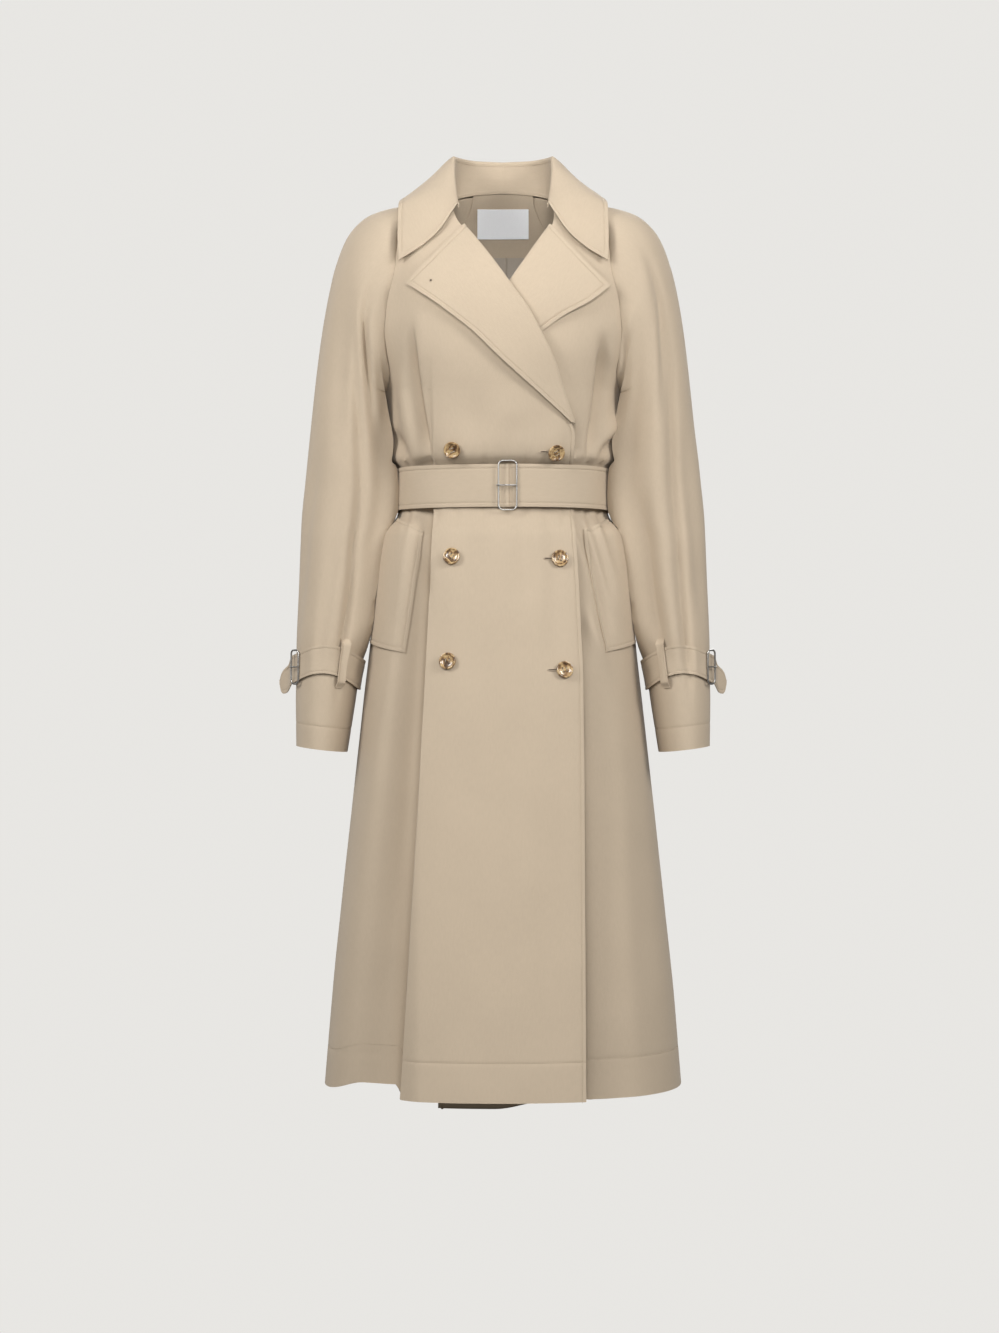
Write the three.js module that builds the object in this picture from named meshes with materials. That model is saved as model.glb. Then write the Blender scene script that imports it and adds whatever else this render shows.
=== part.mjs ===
// A belted, double-breasted raglan trench coat, worn and hollow, in millimetres.
// +Z is up, the front faces -Y, and +X is the viewer's right of the front view.
// The origin is in the middle of the neck, where the shoulders carry the coat.
import * as THREE from 'three';

// Cloth and seams
const WALL = 1.6;            // thickness of the cloth wall
const DOUBLE = 2.2;          // thickness of a turned and stitched collar, welt or strap
const SEAM = 0.3;            // gap between two pieces at a seam
const REST = 0.4;            // gap between a piece and the cloth that it lies on

// Heights of the main levels
const NECK_Z = 12;           // seam of the collar at the centre of the back
const UNDERARM_Z = -262;     // where side seam, sleeve and raglan seams meet
const BELT_TOP_Z = -357;
const BELT_WIDTH = 54;
const HEM_Z = -1150;

// Hardware and buttons
const BUTTON_DIAMETER = 21.5;
const BUTTON_THICKNESS = 4;
const SHANK = { radius: 3, height: 1 };   // thread between a button and the cloth
const BELT_BUCKLE = { width: 25, height: 64, wire: 3.6, corner: 6 };
const CUFF_BUCKLE = { width: 17, height: 45, wire: 3, corner: 5 };
const LABEL = { width: 69, height: 37, thickness: 0.9, topZ: -4 };

// Cloth sections of the body: half width, depth of front and back, squareness of the oval
const BODY = [
  { z: 14, half: 74, front: 46, back: 64, square: 2.0 },
  { z: 0, half: 100, front: 52, back: 71, square: 2.0 },
  { z: -20, half: 146, front: 62, back: 82, square: 2.05 },
  { z: -56, half: 190, front: 86, back: 98, square: 2.1 },
  { z: -96, half: 202, front: 107, back: 109, square: 2.2 },
  { z: -135, half: 203, front: 120, back: 114, square: 2.2 },
  { z: -178, half: 194, front: 128, back: 116, square: 2.25 },
  { z: -214, half: 176, front: 130, back: 116, square: 2.3 },
  { z: -240, half: 161, front: 129, back: 115, square: 2.3 },
  { z: -262, half: 153, front: 128, back: 113, square: 2.3 },
  { z: -300, half: 149, front: 127, back: 111, square: 2.3 },
  { z: -328, half: 147, front: 125, back: 110, square: 2.3 },
  { z: -347, half: 145, front: 121, back: 108, square: 2.3 },
  { z: -357, half: 136.5, front: 105.5, back: 101.5, square: 2.25 },
  { z: -384, half: 135, front: 104, back: 100, square: 2.2 },
  { z: -414, half: 136.5, front: 105.5, back: 101.5, square: 2.2 },
  { z: -446, half: 159, front: 119, back: 118, square: 2.25 },
  { z: -513, half: 167, front: 128, back: 131, square: 2.3 },
  { z: -578, half: 172, front: 133, back: 140, square: 2.3 },
  { z: -650, half: 180, front: 139, back: 149, square: 2.3 },
  { z: -786, half: 195, front: 150, back: 163, square: 2.3 },
  { z: -916, half: 209, front: 160, back: 175, square: 2.3 },
  { z: -1020, half: 220, front: 168, back: 184, square: 2.3 },
  { z: -1150, half: 231, front: 177, back: 194, square: 2.3 },
];

// How far the upper front stands out over the lower one
const OVERLAP_LIFT = [
  { z: -54, lift: 0.4 },
  { z: -95, lift: 4.5 },
  { z: -135, lift: 7.8 },
  { z: -215, lift: 7.8 },
  { z: -262, lift: 6.5 },
  { z: -330, lift: 5 },
  { z: -350, lift: 3.5 },
  { z: -418, lift: 3.5 },
  { z: -450, lift: 5.5 },
  { z: -650, lift: 9 },
  { z: -900, lift: 12 },
  { z: -1150, lift: 14 },
];
const LIFT_START_X = -140;
const LIFT_END_X = -98;

// Front edge of the upper front: its roll line down to the break, then the edge itself
const UPPER_EDGE = [
  { z: -54, x: -51 },
  { z: -95, x: -21.5 },
  { z: -135, x: 6 },
  { z: -170, x: 30 },
  { z: -201, x: 46 },
  { z: -231, x: 60 },
  { z: -265, x: 70 },
  { z: -296, x: 80 },
  { z: -322, x: 88 },
  { z: -384, x: 88 },
  { z: -527, x: 93 },
  { z: -637, x: 97 },
  { z: -1150, x: 99 },
];
const LOWER_EDGE = [
  { z: -54, x: 61 },
  { z: -95, x: 34 },
  { z: -137, x: 6 },
  { z: -168, x: -12.5 },
  { z: -200, x: -29 },
  { z: -224, x: -41 },
  { z: -265, x: -58 },
  { z: -322, x: -76 },
  { z: -384, x: -78 },
  { z: -637, x: -82 },
  { z: -1150, x: -86 },
];

// Raglan seams, neck to underarm: height, and share of the body's half width, front and back
const RAGLAN = [
  { part: 0, frontZ: -24, frontSide: 0.42, backZ: 4, backSide: 0.62 },
  { part: 0.15, frontZ: -38, frontSide: 0.62, backZ: -18, backSide: 0.72 },
  { part: 0.3, frontZ: -58, frontSide: 0.69, backZ: -48, backSide: 0.72 },
  { part: 0.45, frontZ: -96, frontSide: 0.675, backZ: -92, backSide: 0.7 },
  { part: 0.6, frontZ: -150, frontSide: 0.73, backZ: -146, backSide: 0.73 },
  { part: 0.75, frontZ: -200, frontSide: 0.815, backZ: -198, backSide: 0.81 },
  { part: 0.88, frontZ: -240, frontSide: 0.9, backZ: -238, backSide: 0.9 },
  { part: 0.95, frontZ: -256, frontSide: 0.965, backZ: -255, backSide: 0.965 },
  { part: 1, frontZ: UNDERARM_Z, frontSide: 1, backZ: UNDERARM_Z, backSide: 1 },
];
const RAGLAN_ROWS = 10;

// The sleeve above the underarm: outer line, half axes across and front to back, the turn of
// each side of the section and the lean of its axis, in degrees
const SHOULDER = [
  { part: 0, x: 75, z: -7, across: 3, depth: 56, turn: 90, lean: 90 },
  { part: 0.15, x: 110, z: -13, across: 15, depth: 64, turn: 90, lean: 90 },
  { part: 0.3, x: 142, z: -18, across: 36, depth: 75, turn: 92, lean: 84 },
  { part: 0.45, x: 172, z: -27, across: 62, depth: 82, turn: 96, lean: 72 },
  { part: 0.6, x: 199, z: -51, across: 66, depth: 84, turn: 108, lean: 54 },
  { part: 0.75, x: 218, z: -96, across: 62, depth: 84, turn: 128, lean: 38 },
  { part: 0.88, x: 230, z: -150, across: 54, depth: 82, turn: 152, lean: 29 },
  { part: 0.95, x: 236, z: -190, across: 50, depth: 80, turn: 168, lean: 25 },
  { part: 1, x: 241, z: -226, across: 47.5, depth: 79, turn: 180, lean: 22 },
];
// The sleeve below the underarm: outer and inner line, half depth, forward shift, and how much
// lower the inner line lies than the outer one in the same row
const SLEEVE = [
  { z: -226, outer: 241, inner: 153, depth: 79, forward: 0, drop: 36 },
  { z: -258, outer: 245, inner: 153, depth: 78, forward: 1, drop: 33 },
  { z: -318, outer: 251, inner: 150, depth: 75, forward: 3, drop: 24 },
  { z: -370, outer: 256, inner: 147, depth: 71, forward: 6, drop: 15 },
  { z: -422, outer: 261, inner: 153, depth: 69, forward: 8, drop: 9 },
  { z: -446, outer: 262, inner: 162, depth: 68, forward: 10, drop: 7 },
  { z: -500, outer: 264, inner: 169, depth: 66, forward: 12, drop: 5 },
  { z: -578, outer: 267, inner: 178, depth: 63, forward: 15, drop: 5 },
  { z: -630, outer: 268, inner: 187, depth: 61, forward: 17, drop: 6 },
  { z: -714, outer: 267, inner: 201, depth: 58, forward: 20, drop: 8 },
];
const SLEEVE_ROWS = [-258, -290, -322, -354, -386, -418, -446, -480, -520, -560, -600, -640, -678, -714];
const SLEEVE_COLUMNS = 16;
const SLEEVE_CLEARANCE = 1.2;

// Largest folds of the body: a line down the cloth, its two soft widths and its depth (in is +)
const FOLDS = [
  // the crisp pressed fold of the upper front's skirt, and the part that falls back behind it
  { face: 'front', topX: -92, topZ: -412, lowX: -126, lowZ: -1180, outer: 70, inner: 9, depth: 16, fade: 60, bow: 3 },
  // hollows of the blousing above the belt
  { face: 'front', topX: -115, topZ: -196, lowX: -95, lowZ: -352, outer: 12, inner: 16, depth: 9, fade: 60, bow: 4 },
  { face: 'front', topX: 106, topZ: -215, lowX: 93, lowZ: -352, outer: 15, inner: 12, depth: 8, fade: 55, bow: -3 },
  { face: 'front', topX: 124, topZ: -230, lowX: 112, lowZ: -350, outer: 9, inner: 9, depth: 5, fade: 40, bow: 3 },
  { face: 'front', topX: 14, topZ: -300, lowX: 6, lowZ: -366, outer: 20, inner: 20, depth: 8, fade: 30, bow: 0 },
  // gathers below the belt
  { face: 'front', topX: 95, topZ: -420, lowX: 132, lowZ: -580, outer: 12, inner: 12, depth: 8, fade: 70, bow: 4 },
  { face: 'front', topX: 112, topZ: -412, lowX: 140, lowZ: -530, outer: 9, inner: 9, depth: 5, fade: 60, bow: 2 },
  { face: 'front', topX: 22, topZ: -420, lowX: 34, lowZ: -560, outer: 14, inner: 14, depth: 4, fade: 70, bow: 0 },
  { face: 'front', topX: -40, topZ: -420, lowX: -46, lowZ: -540, outer: 14, inner: 14, depth: 3, fade: 70, bow: 0 },
  // the lower front's skirt beside the upper front's edge
  { face: 'front', topX: 120, topZ: -560, lowX: 134, lowZ: -1180, outer: 26, inner: 30, depth: 12, fade: 200, bow: 0 },
  { face: 'front', topX: 168, topZ: -620, lowX: 192, lowZ: -1180, outer: 20, inner: 22, depth: 7, fade: 220, bow: 0 },
  { face: 'front', topX: -176, topZ: -640, lowX: -196, lowZ: -1180, outer: 20, inner: 20, depth: 6, fade: 220, bow: 0 },
  // folds of the back, deeper below the belt
  { face: 'back', topX: -58, topZ: -412, lowX: -84, lowZ: -1180, outer: 30, inner: 26, depth: 10, fade: 160, bow: 2 },
  { face: 'back', topX: 52, topZ: -412, lowX: 76, lowZ: -1180, outer: 30, inner: 26, depth: 11, fade: 160, bow: -2 },
  { face: 'back', topX: -112, topZ: -412, lowX: -150, lowZ: -1180, outer: 26, inner: 26, depth: 9, fade: 190, bow: 0 },
  { face: 'back', topX: 116, topZ: -412, lowX: 156, lowZ: -1180, outer: 26, inner: 26, depth: 8, fade: 190, bow: 0 },
  { face: 'back', topX: -4, topZ: -430, lowX: 2, lowZ: -1180, outer: 28, inner: 28, depth: 7, fade: 260, bow: 0 },
  { face: 'back', topX: -74, topZ: -220, lowX: -62, lowZ: -352, outer: 15, inner: 15, depth: 7, fade: 60, bow: 3 },
  { face: 'back', topX: 70, topZ: -235, lowX: 58, lowZ: -352, outer: 15, inner: 15, depth: 8, fade: 55, bow: -3 },
  { face: 'back', topX: -4, topZ: -260, lowX: 0, lowZ: -352, outer: 16, inner: 16, depth: 5, fade: 45, bow: 0 },
];

// Largest folds of a sleeve: place round the arm in degrees (0 outside, - front), heights, size
const SLEEVE_FOLDS = [
  { turn: -112, topZ: -60, lowZ: -640, width: 20, depth: -5, fade: 120, drift: 10 },
  { turn: -60, topZ: -90, lowZ: -330, width: 22, depth: 5, fade: 90, drift: -14 },
  { turn: -140, topZ: -200, lowZ: -420, width: 20, depth: 6, fade: 70, drift: 16 },
  { turn: -40, topZ: -330, lowZ: -560, width: 20, depth: 4, fade: 90, drift: 20 },
  { turn: 70, topZ: -90, lowZ: -380, width: 24, depth: 6, fade: 100, drift: 18 },
  { turn: 120, topZ: -190, lowZ: -460, width: 22, depth: 6, fade: 80, drift: -14 },
  { turn: 60, topZ: -400, lowZ: -600, width: 22, depth: 4, fade: 80, drift: 12 },
];

// Lapels: roll line and outer edge of each row, and how far the outer edge stands off the front
const UPPER_LAPEL = [
  { row: 0, rollX: -51, rollZ: -54, edgeX: -117, edgeZ: -133, rise: 9 },
  { row: 1, rollX: -21.5, rollZ: -95, edgeX: -98, edgeZ: -147, rise: 8.5 },
  { row: 2, rollX: 6, rollZ: -135, edgeX: -73, edgeZ: -165, rise: 8 },
  { row: 3, rollX: 30, rollZ: -170, edgeX: -41, edgeZ: -190, rise: 7.5 },
  { row: 4, rollX: 46, rollZ: -201, edgeX: -14, edgeZ: -216, rise: 7 },
  { row: 5, rollX: 60, rollZ: -231, edgeX: 16, edgeZ: -244, rise: 6.5 },
  { row: 6, rollX: 70, rollZ: -265, edgeX: 44, edgeZ: -270, rise: 6 },
  { row: 7, rollX: 80, rollZ: -296, edgeX: 68, edgeZ: -296, rise: 5 },
];
const LOWER_LAPEL = [
  { row: 0, rollX: 61, rollZ: -54, edgeX: 130, edgeZ: -134, rise: 11 },
  { row: 1, rollX: 34, rollZ: -95, edgeX: 107, edgeZ: -154, rise: 9 },
  { row: 2, rollX: 6, rollZ: -137, edgeX: 74, edgeZ: -173, rise: 6.5 },
  { row: 3, rollX: -12.5, rollZ: -168, edgeX: 43, edgeZ: -196, rise: 3.6 },
  { row: 4, rollX: -29, rollZ: -200, edgeX: 11, edgeZ: -218, rise: 2.8 },
  { row: 5, rollX: -40, rollZ: -222, edgeX: -20, edgeZ: -231, rise: 2.6 },
];
// Section of a lapel's turn: beyond the front's edge, and above its outer face
const LAPEL_TURN = [
  { beyond: 2.4, above: -1.6 },
  { beyond: 4, above: 0.6 },
  { beyond: 3.4, above: 2.9 },
  { beyond: 0.6, above: 4.2 },
  { beyond: -5, above: 4.2 },
];

// Collar, from the centre of the back (place 0) to its front end (place 1): the neck seam, the
// roll at the top, the middle of the fall's curve and its outer edge
const COLLAR = [
  { place: 0, seamX: 0, seamY: 63, seamZ: 13, rollX: 0, rollY: 62, rollZ: 54,
    midX: 0, midY: 86, midZ: 44, edgeX: 0, edgeY: 98, edgeZ: -26 },
  { place: 0.3, seamX: 35, seamY: 61, seamZ: 10.5, rollX: 34, rollY: 55, rollZ: 54,
    midX: 46, midY: 78, midZ: 44, edgeX: 52, edgeY: 95, edgeZ: -27 },
  { place: 0.5, seamX: 57, seamY: 54, seamZ: 5.5, rollX: 54, rollY: 35, rollZ: 53.5,
    midX: 80, midY: 54, midZ: 40, edgeX: 98, edgeY: 80, edgeZ: -26 },
  { place: 0.62, seamX: 69, seamY: 30, seamZ: -1, rollX: 61, rollY: 14, rollZ: 52,
    midX: 89, midY: 24, midZ: 36, edgeX: 122, edgeY: 42, edgeZ: -9 },
  { place: 0.75, seamX: 75, seamY: 0, seamZ: -5, rollX: 62, rollY: -8, rollZ: 36,
    midX: 92, midY: -8, midZ: 26, edgeX: 132, edgeY: -2, edgeZ: -7 },
  { place: 0.87, seamX: 71, seamY: -34, seamZ: -11, rollX: 60, rollY: -32, rollZ: 6,
    midX: 90, midY: -44, midZ: 5, edgeX: 134, edgeY: -54, edgeZ: -19 },
  { place: 0.95, seamX: 63, seamY: -57, seamZ: -22, rollX: 57.5, rollY: -48, rollZ: -13,
    midX: 80, midY: -86, midZ: -36, edgeX: 134, edgeY: -84, edgeZ: -64 },
  { place: 1, seamX: 59, seamY: -65, seamZ: -32, rollX: 56, rollY: -58, rollZ: -23,
    midX: 74, midY: -101, midZ: -67, edgeX: 132, edgeY: -97, edgeZ: -98 },
];

// The belt's outer face above the waist section, by its way round from the buckle, in degrees
const BELT = [
  { way: -86, raised: 11.8 },
  { way: -45, raised: 11.8 },
  { way: -15, raised: 5.8 },
  { way: 190, raised: 5.8 },
  { way: 222, raised: 9.1 },
  { way: 312, raised: 9.1 },
];
const WAIST_Z = -384;
const BELT_LOOP = { width: 12, topZ: -346, lowZ: -418, raised: 8 };

// Slanted pocket welts: front line and opening edge, as a share of the half width
const WELT = [
  { z: -428, frontX: 104, openShare: 0.93 },
  { z: -500, frontX: 115, openShare: 0.955 },
  { z: -588, frontX: 129, openShare: 0.975 },
];
const WELT_SLOPE = 12;       // how much lower the welt's ends lie at its front line

// Cuff straps: way round the sleeve from the outside over the back, and height of the outer face
const CUFF_STRAP = [
  { way: 2, raised: 3.2, half: 18 },
  { way: 318, raised: 3.2, half: 18 },
  { way: 343, raised: 6.5, half: 18 },
  { way: 356, raised: 12, half: 18 },
  { way: 366, raised: 22, half: 15 },
  { way: 371, raised: 28, half: 3 },
];
const CUFF_STRAP_Z = -614;
const CUFF_STRAP_ARCH = 10;  // how much higher the strap lies on the front of the sleeve
const CUFF_LOOP = { width: 12.5, turn: -118, height: 62, raised: 6.2, ramp: 8 };

const BUTTONS = [
  { x: -62.5, z: -339 },
  { x: 65, z: -342 },
  { x: -63, z: -475 },
  { x: 70, z: -477 },
  { x: -67, z: -606 },
  { x: 74, z: -617 },
];

const FACING_LOW_Z = -65;
const LINING_LOW_Z = -330;
const LINING_SLACK = 9;      // how far the lining hangs free of the folds above the belt

const COLOURS = {
  gabardine: { color: 0xc9b69c, roughness: 0.86, metalness: 0 },
  lining: { color: 0xaea18f, roughness: 0.5, metalness: 0 },
  label: { color: 0xf2f2f0, roughness: 0.7, metalness: 0 },
  steel: { color: 0xb9b9b6, roughness: 0.3, metalness: 1 },
  horn: { color: 0x97764c, roughness: 0.35, metalness: 0 },
};

const coat = new THREE.Group();

function addPiece(name, geometry, finish) {
  const mesh = new THREE.Mesh(geometry, new THREE.MeshStandardMaterial(COLOURS[finish]));
  mesh.name = name;
  coat.add(mesh);
  return mesh;
}

// Numbers

const clamp = (value, low, high) => Math.min(high, Math.max(low, value));
const mix = (a, b, share) => a + (b - a) * share;
const radians = (degrees) => degrees * Math.PI / 180;

function smoothStep(value, start, end) {
  const share = clamp((value - start) / (end - start), 0, 1);
  return share * share * (3 - 2 * share);
}

// Value of one column of a table, on a smooth curve that never overshoots its rows.
function tableValue(table, key, place, column) {
  const last = table.length - 1;
  const sign = table[last][key] > table[0][key] ? 1 : -1;
  if ((place - table[0][key]) * sign <= 0) return table[0][column];
  if ((place - table[last][key]) * sign >= 0) return table[last][column];
  let row = 0;
  while ((place - table[row + 1][key]) * sign > 0) row += 1;
  const slope = (i) => (table[i + 1][column] - table[i][column]) / (table[i + 1][key] - table[i][key]);
  const tangent = (i) => {
    if (i === 0) return slope(0);
    if (i === last) return slope(last - 1);
    const before = slope(i - 1);
    const after = slope(i);
    return before * after <= 0 ? 0 : 2 * before * after / (before + after);
  };
  const span = table[row + 1][key] - table[row][key];
  const t = (place - table[row][key]) / span;
  const h00 = (1 + 2 * t) * (1 - t) * (1 - t);
  const h10 = t * (1 - t) * (1 - t);
  const h01 = t * t * (3 - 2 * t);
  const h11 = t * t * (t - 1);
  return h00 * table[row][column] + h10 * span * tangent(row)
    + h01 * table[row + 1][column] + h11 * span * tangent(row + 1);
}

// Surfaces: a skin is a function of (across, along) that gives a point

function normalOf(skin, across, along) {
  const step = 1e-3;
  const a = skin(across + step, along).sub(skin(across - step, along));
  const b = skin(across, along + step).sub(skin(across, along - step));
  return a.cross(b).normalize();
}

// A closed wall of cloth: the skin is its outer face, and the inner face lies thick inwards.
// facing is 1 where across x along, in the order of the lists, points to the wall's outer side.
function clothWall(skin, acrossList, alongList, { thick = WALL, facing = 1, closed = false } = {}) {
  const rows = alongList.length;
  const columns = acrossList.length;
  const order = Math.sign(alongList[1] - alongList[0]) * Math.sign(acrossList[1] - acrossList[0]);
  const points = [];
  for (let side = 0; side < 2; side += 1) {
    for (let j = 0; j < rows; j += 1) {
      for (let i = 0; i < columns; i += 1) {
        const point = skin(acrossList[i], alongList[j]);
        if (side === 1) {
          point.addScaledVector(normalOf(skin, acrossList[i], alongList[j]), -thick * facing * order);
        }
        points.push(point.x, point.y, point.z);
      }
    }
  }
  return closedGrid(points, rows, columns, facing, closed);
}

// Triangles of a wall whose outer grid comes first and whose inner grid follows.
function closedGrid(points, rows, columns, facing, closed) {
  const index = [];
  const at = (side, j, i) => side * rows * columns + j * columns + (i % columns);
  const quad = (a, b, c, d) => {
    if (facing > 0) index.push(a, b, c, a, c, d);
    else index.push(a, c, b, a, d, c);
  };
  const spans = closed ? columns : columns - 1;
  for (let j = 0; j < rows - 1; j += 1) {
    for (let i = 0; i < spans; i += 1) {
      quad(at(0, j, i), at(0, j, i + 1), at(0, j + 1, i + 1), at(0, j + 1, i));
      quad(at(1, j, i), at(1, j + 1, i), at(1, j + 1, i + 1), at(1, j, i + 1));
    }
  }
  for (let i = 0; i < spans; i += 1) {
    quad(at(0, 0, i + 1), at(0, 0, i), at(1, 0, i), at(1, 0, i + 1));
    quad(at(0, rows - 1, i), at(0, rows - 1, i + 1), at(1, rows - 1, i + 1), at(1, rows - 1, i));
  }
  if (!closed) {
    for (let j = 0; j < rows - 1; j += 1) {
      quad(at(0, j, 0), at(0, j + 1, 0), at(1, j + 1, 0), at(1, j, 0));
      quad(at(0, j + 1, columns - 1), at(0, j, columns - 1), at(1, j, columns - 1), at(1, j + 1, columns - 1));
    }
  }
  const geometry = new THREE.BufferGeometry();
  geometry.setAttribute('position', new THREE.Float32BufferAttribute(points, 3));
  geometry.setIndex(index);
  return geometry;
}

const evenly = (from, to, count) => Array.from({ length: count + 1 }, (_, i) => mix(from, to, i / count));

// Body skin

function bodySection(z) {
  const read = (column) => tableValue(BODY, 'z', z, column);
  return { half: read('half'), front: read('front'), back: read('back'), power: 2 / read('square') };
}

// Angle round the body of a given x on the front (negative) or the back; 0 is the viewer's right.
function bodyAngle(x, z, face) {
  const { half, power } = bodySection(z);
  const share = clamp(x / half, -1, 1);
  const angle = Math.acos(Math.sign(share) * Math.abs(share) ** (1 / power)) * 180 / Math.PI;
  return face === 'front' ? -angle : angle;
}

function foldDepth(face, x, z) {
  let depth = 0;
  for (const fold of FOLDS) {
    if (fold.face !== face) continue;
    const down = clamp((fold.topZ - z) / (fold.topZ - fold.lowZ), 0, 1);
    const lineX = mix(fold.topX, fold.lowX, down) + fold.bow * 4 * down * (1 - down);
    const side = Math.sign(fold.topX + fold.lowX);
    const away = (x - lineX) * side;
    const width = away > 0 ? fold.outer : fold.inner;
    const ends = smoothStep(z, fold.topZ + fold.fade * 0.4, fold.topZ - fold.fade * 0.6)
      * smoothStep(z, fold.lowZ - fold.fade * 0.1, fold.lowZ + fold.fade);
    depth += fold.depth * ends * Math.exp(-((away / width) ** 2));
  }
  return depth;
}

function plainBody(angle, z) {
  const { half, front, back, power } = bodySection(z);
  const c = Math.cos(radians(angle));
  const s = Math.sin(radians(angle));
  const depth = s < 0 ? front : back;
  return new THREE.Vector3(
    half * Math.sign(c) * Math.abs(c) ** power,
    depth * Math.sign(s) * Math.abs(s) ** power,
    z,
  );
}

function outward(angle, z) {
  const step = 0.5;
  const a = plainBody(angle + step, z).sub(plainBody(angle - step, z));
  const b = plainBody(angle, z + step).sub(plainBody(angle, z - step));
  return a.cross(b).normalize();
}

// A point of the body's cloth, raised by a distance out of the coat.
function bodyPoint(angle, z, raised = 0) {
  const point = plainBody(angle, z);
  const face = point.y < 0 ? 'front' : 'back';
  const calm = smoothStep(Math.abs(point.y), 0, 30);
  const out = raised - foldDepth(face, point.x, z) * calm;
  return point.addScaledVector(outward(angle, z), out);
}

function overlapLift(x, z) {
  return tableValue(OVERLAP_LIFT, 'z', z, 'lift') * smoothStep(x, LIFT_START_X, LIFT_END_X);
}

// Rows of the body panels

const raglanParts = evenly(0, 1, RAGLAN_ROWS);
const SKIRT_ROWS = [-290, -320, -347, -357, -384, -413, -430, -452, -490, -530, -580,
  -640, -710, -790, -880, -970, -1060, HEM_Z];
const panelRows = raglanParts.length + SKIRT_ROWS.length - 1;

// Seam side of a panel at a row: raglan seam first, then the side seam.
function seamPlace(row, face) {
  const whole = clamp(Math.floor(row), 0, panelRows - 1);
  const share = row - whole;
  const place = (r) => {
    if (r >= raglanParts.length) return { z: SKIRT_ROWS[r - raglanParts.length], side: 1 };
    const part = raglanParts[r];
    return {
      z: tableValue(RAGLAN, 'part', part, `${face}Z`),
      side: tableValue(RAGLAN, 'part', part, `${face}Side`),
    };
  };
  const a = place(whole);
  const b = place(Math.min(whole + 1, panelRows));
  const z = mix(a.z, b.z, share);
  const side = mix(a.side, b.side, share);
  const { half } = bodySection(z);
  return { z, angle: bodyAngle(side * half, z, face) };
}

const rowList = evenly(0, panelRows, panelRows);
const SEAM_TURN = 0.07;      // degrees that keep half of a side seam's gap

// A front: from the raglan and side seam (across 0) to its front edge (across 1).
function frontSkin(side, edge, neckZ, lifted) {
  return (across, along) => {
    const row = clamp(along, -0.01, panelRows + 0.01);
    const seam = seamPlace(clamp(row, 0, panelRows), 'front');
    const seamAngle = side > 0 ? seam.angle - SEAM_TURN : -180 - seam.angle + SEAM_TURN;
    const underarmRow = raglanParts.length - 1;
    const seamShare = (seam.z - RAGLAN[0].frontZ) / (UNDERARM_Z - RAGLAN[0].frontZ);
    const edgeZ = row < underarmRow ? mix(neckZ, UNDERARM_Z, seamShare) : seam.z;
    const edgeX = tableValue(edge, 'z', edgeZ, 'x');
    const edgeAngle = bodyAngle(edgeX, edgeZ, 'front');
    const z = mix(seam.z, edgeZ, across) + (row - clamp(row, 0, panelRows)) * -20;
    const angle = mix(seamAngle, edgeAngle, across);
    const plain = plainBody(angle, z);
    return bodyPoint(angle, z, lifted ? overlapLift(plain.x, z) : 0);
  };
}

const upperFront = frontSkin(-1, UPPER_EDGE, UPPER_EDGE[0].z, true);
const lowerFront = frontSkin(1, LOWER_EDGE, LOWER_EDGE[0].z, false);

// The back: from the viewer's right seam to the left one.
function backSkin(across, along) {
  const row = clamp(along, 0, panelRows);
  const seam = seamPlace(row, 'back');
  const neckDip = 1 - smoothStep(row, 0, 4);
  const middle = (across - 0.5) * 2;
  const z = seam.z + neckDip * (NECK_Z - RAGLAN[0].backZ) * (1 - middle * middle) - (along - row) * 20;
  const angle = mix(seam.angle + SEAM_TURN, 180 - seam.angle - SEAM_TURN, across);
  return bodyPoint(angle, z, 0);
}

const FRONT_COLUMNS = 20;
const LOWER_COLUMNS = 14;
const BACK_COLUMNS = 18;

const upperFrontWall = clothWall(upperFront, evenly(0, 1, FRONT_COLUMNS), rowList, { facing: -1 });
const upperFrontMesh = addPiece('front_right', upperFrontWall, 'gabardine');
addPiece('front_left', clothWall(lowerFront, evenly(0, 1, LOWER_COLUMNS), rowList, { facing: 1 }), 'gabardine');
addPiece('back', clothWall(backSkin, evenly(0, 1, BACK_COLUMNS), rowList, { facing: -1 }), 'gabardine');

// Sleeves

const raglanLast = raglanParts.length - 1;
const sleeveRowCount = raglanLast + SLEEVE_ROWS.length;

// Half width of the body at a height, at a distance in front of or behind its middle.
function bodyReach(y, z) {
  const { half, front, back, power } = bodySection(z);
  const share = Math.abs(y) / (y < 0 ? front : back);
  if (share >= 1) return 0;
  return half * (1 - share ** (2 / power)) ** (power / 2);
}

function sleeveFold(anyTurn, z) {
  const turn = anyTurn > 180 ? anyTurn - 360 : anyTurn;
  let depth = 0;
  for (const fold of SLEEVE_FOLDS) {
    const down = clamp((fold.topZ - z) / (fold.topZ - fold.lowZ), 0, 1);
    const away = (turn - fold.turn - fold.drift * down) / fold.width;
    const ends = smoothStep(z, fold.topZ + fold.fade * 0.3, fold.topZ - fold.fade * 0.7)
      * smoothStep(z, fold.lowZ - fold.fade * 0.3, fold.lowZ + fold.fade * 0.7);
    depth += fold.depth * ends * Math.exp(-away * away);
  }
  return depth;
}

// One section of the sleeve: a point at a turn, 0 outside, -90 front, +-180 inside.
function sectionPoint(section, turn, raised) {
  const c = Math.cos(radians(turn));
  const s = Math.sin(radians(turn));
  const lean = radians(section.lean);
  const out = section.across * (c - 1) + (raised - sleeveFold(turn, section.z)) * c;
  const deep = section.depth * s + (raised - sleeveFold(turn, section.z)) * s;
  return new THREE.Vector3(
    section.x + out * Math.cos(lean),
    section.forward + deep,
    section.z + out * Math.sin(lean),
  );
}

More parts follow.
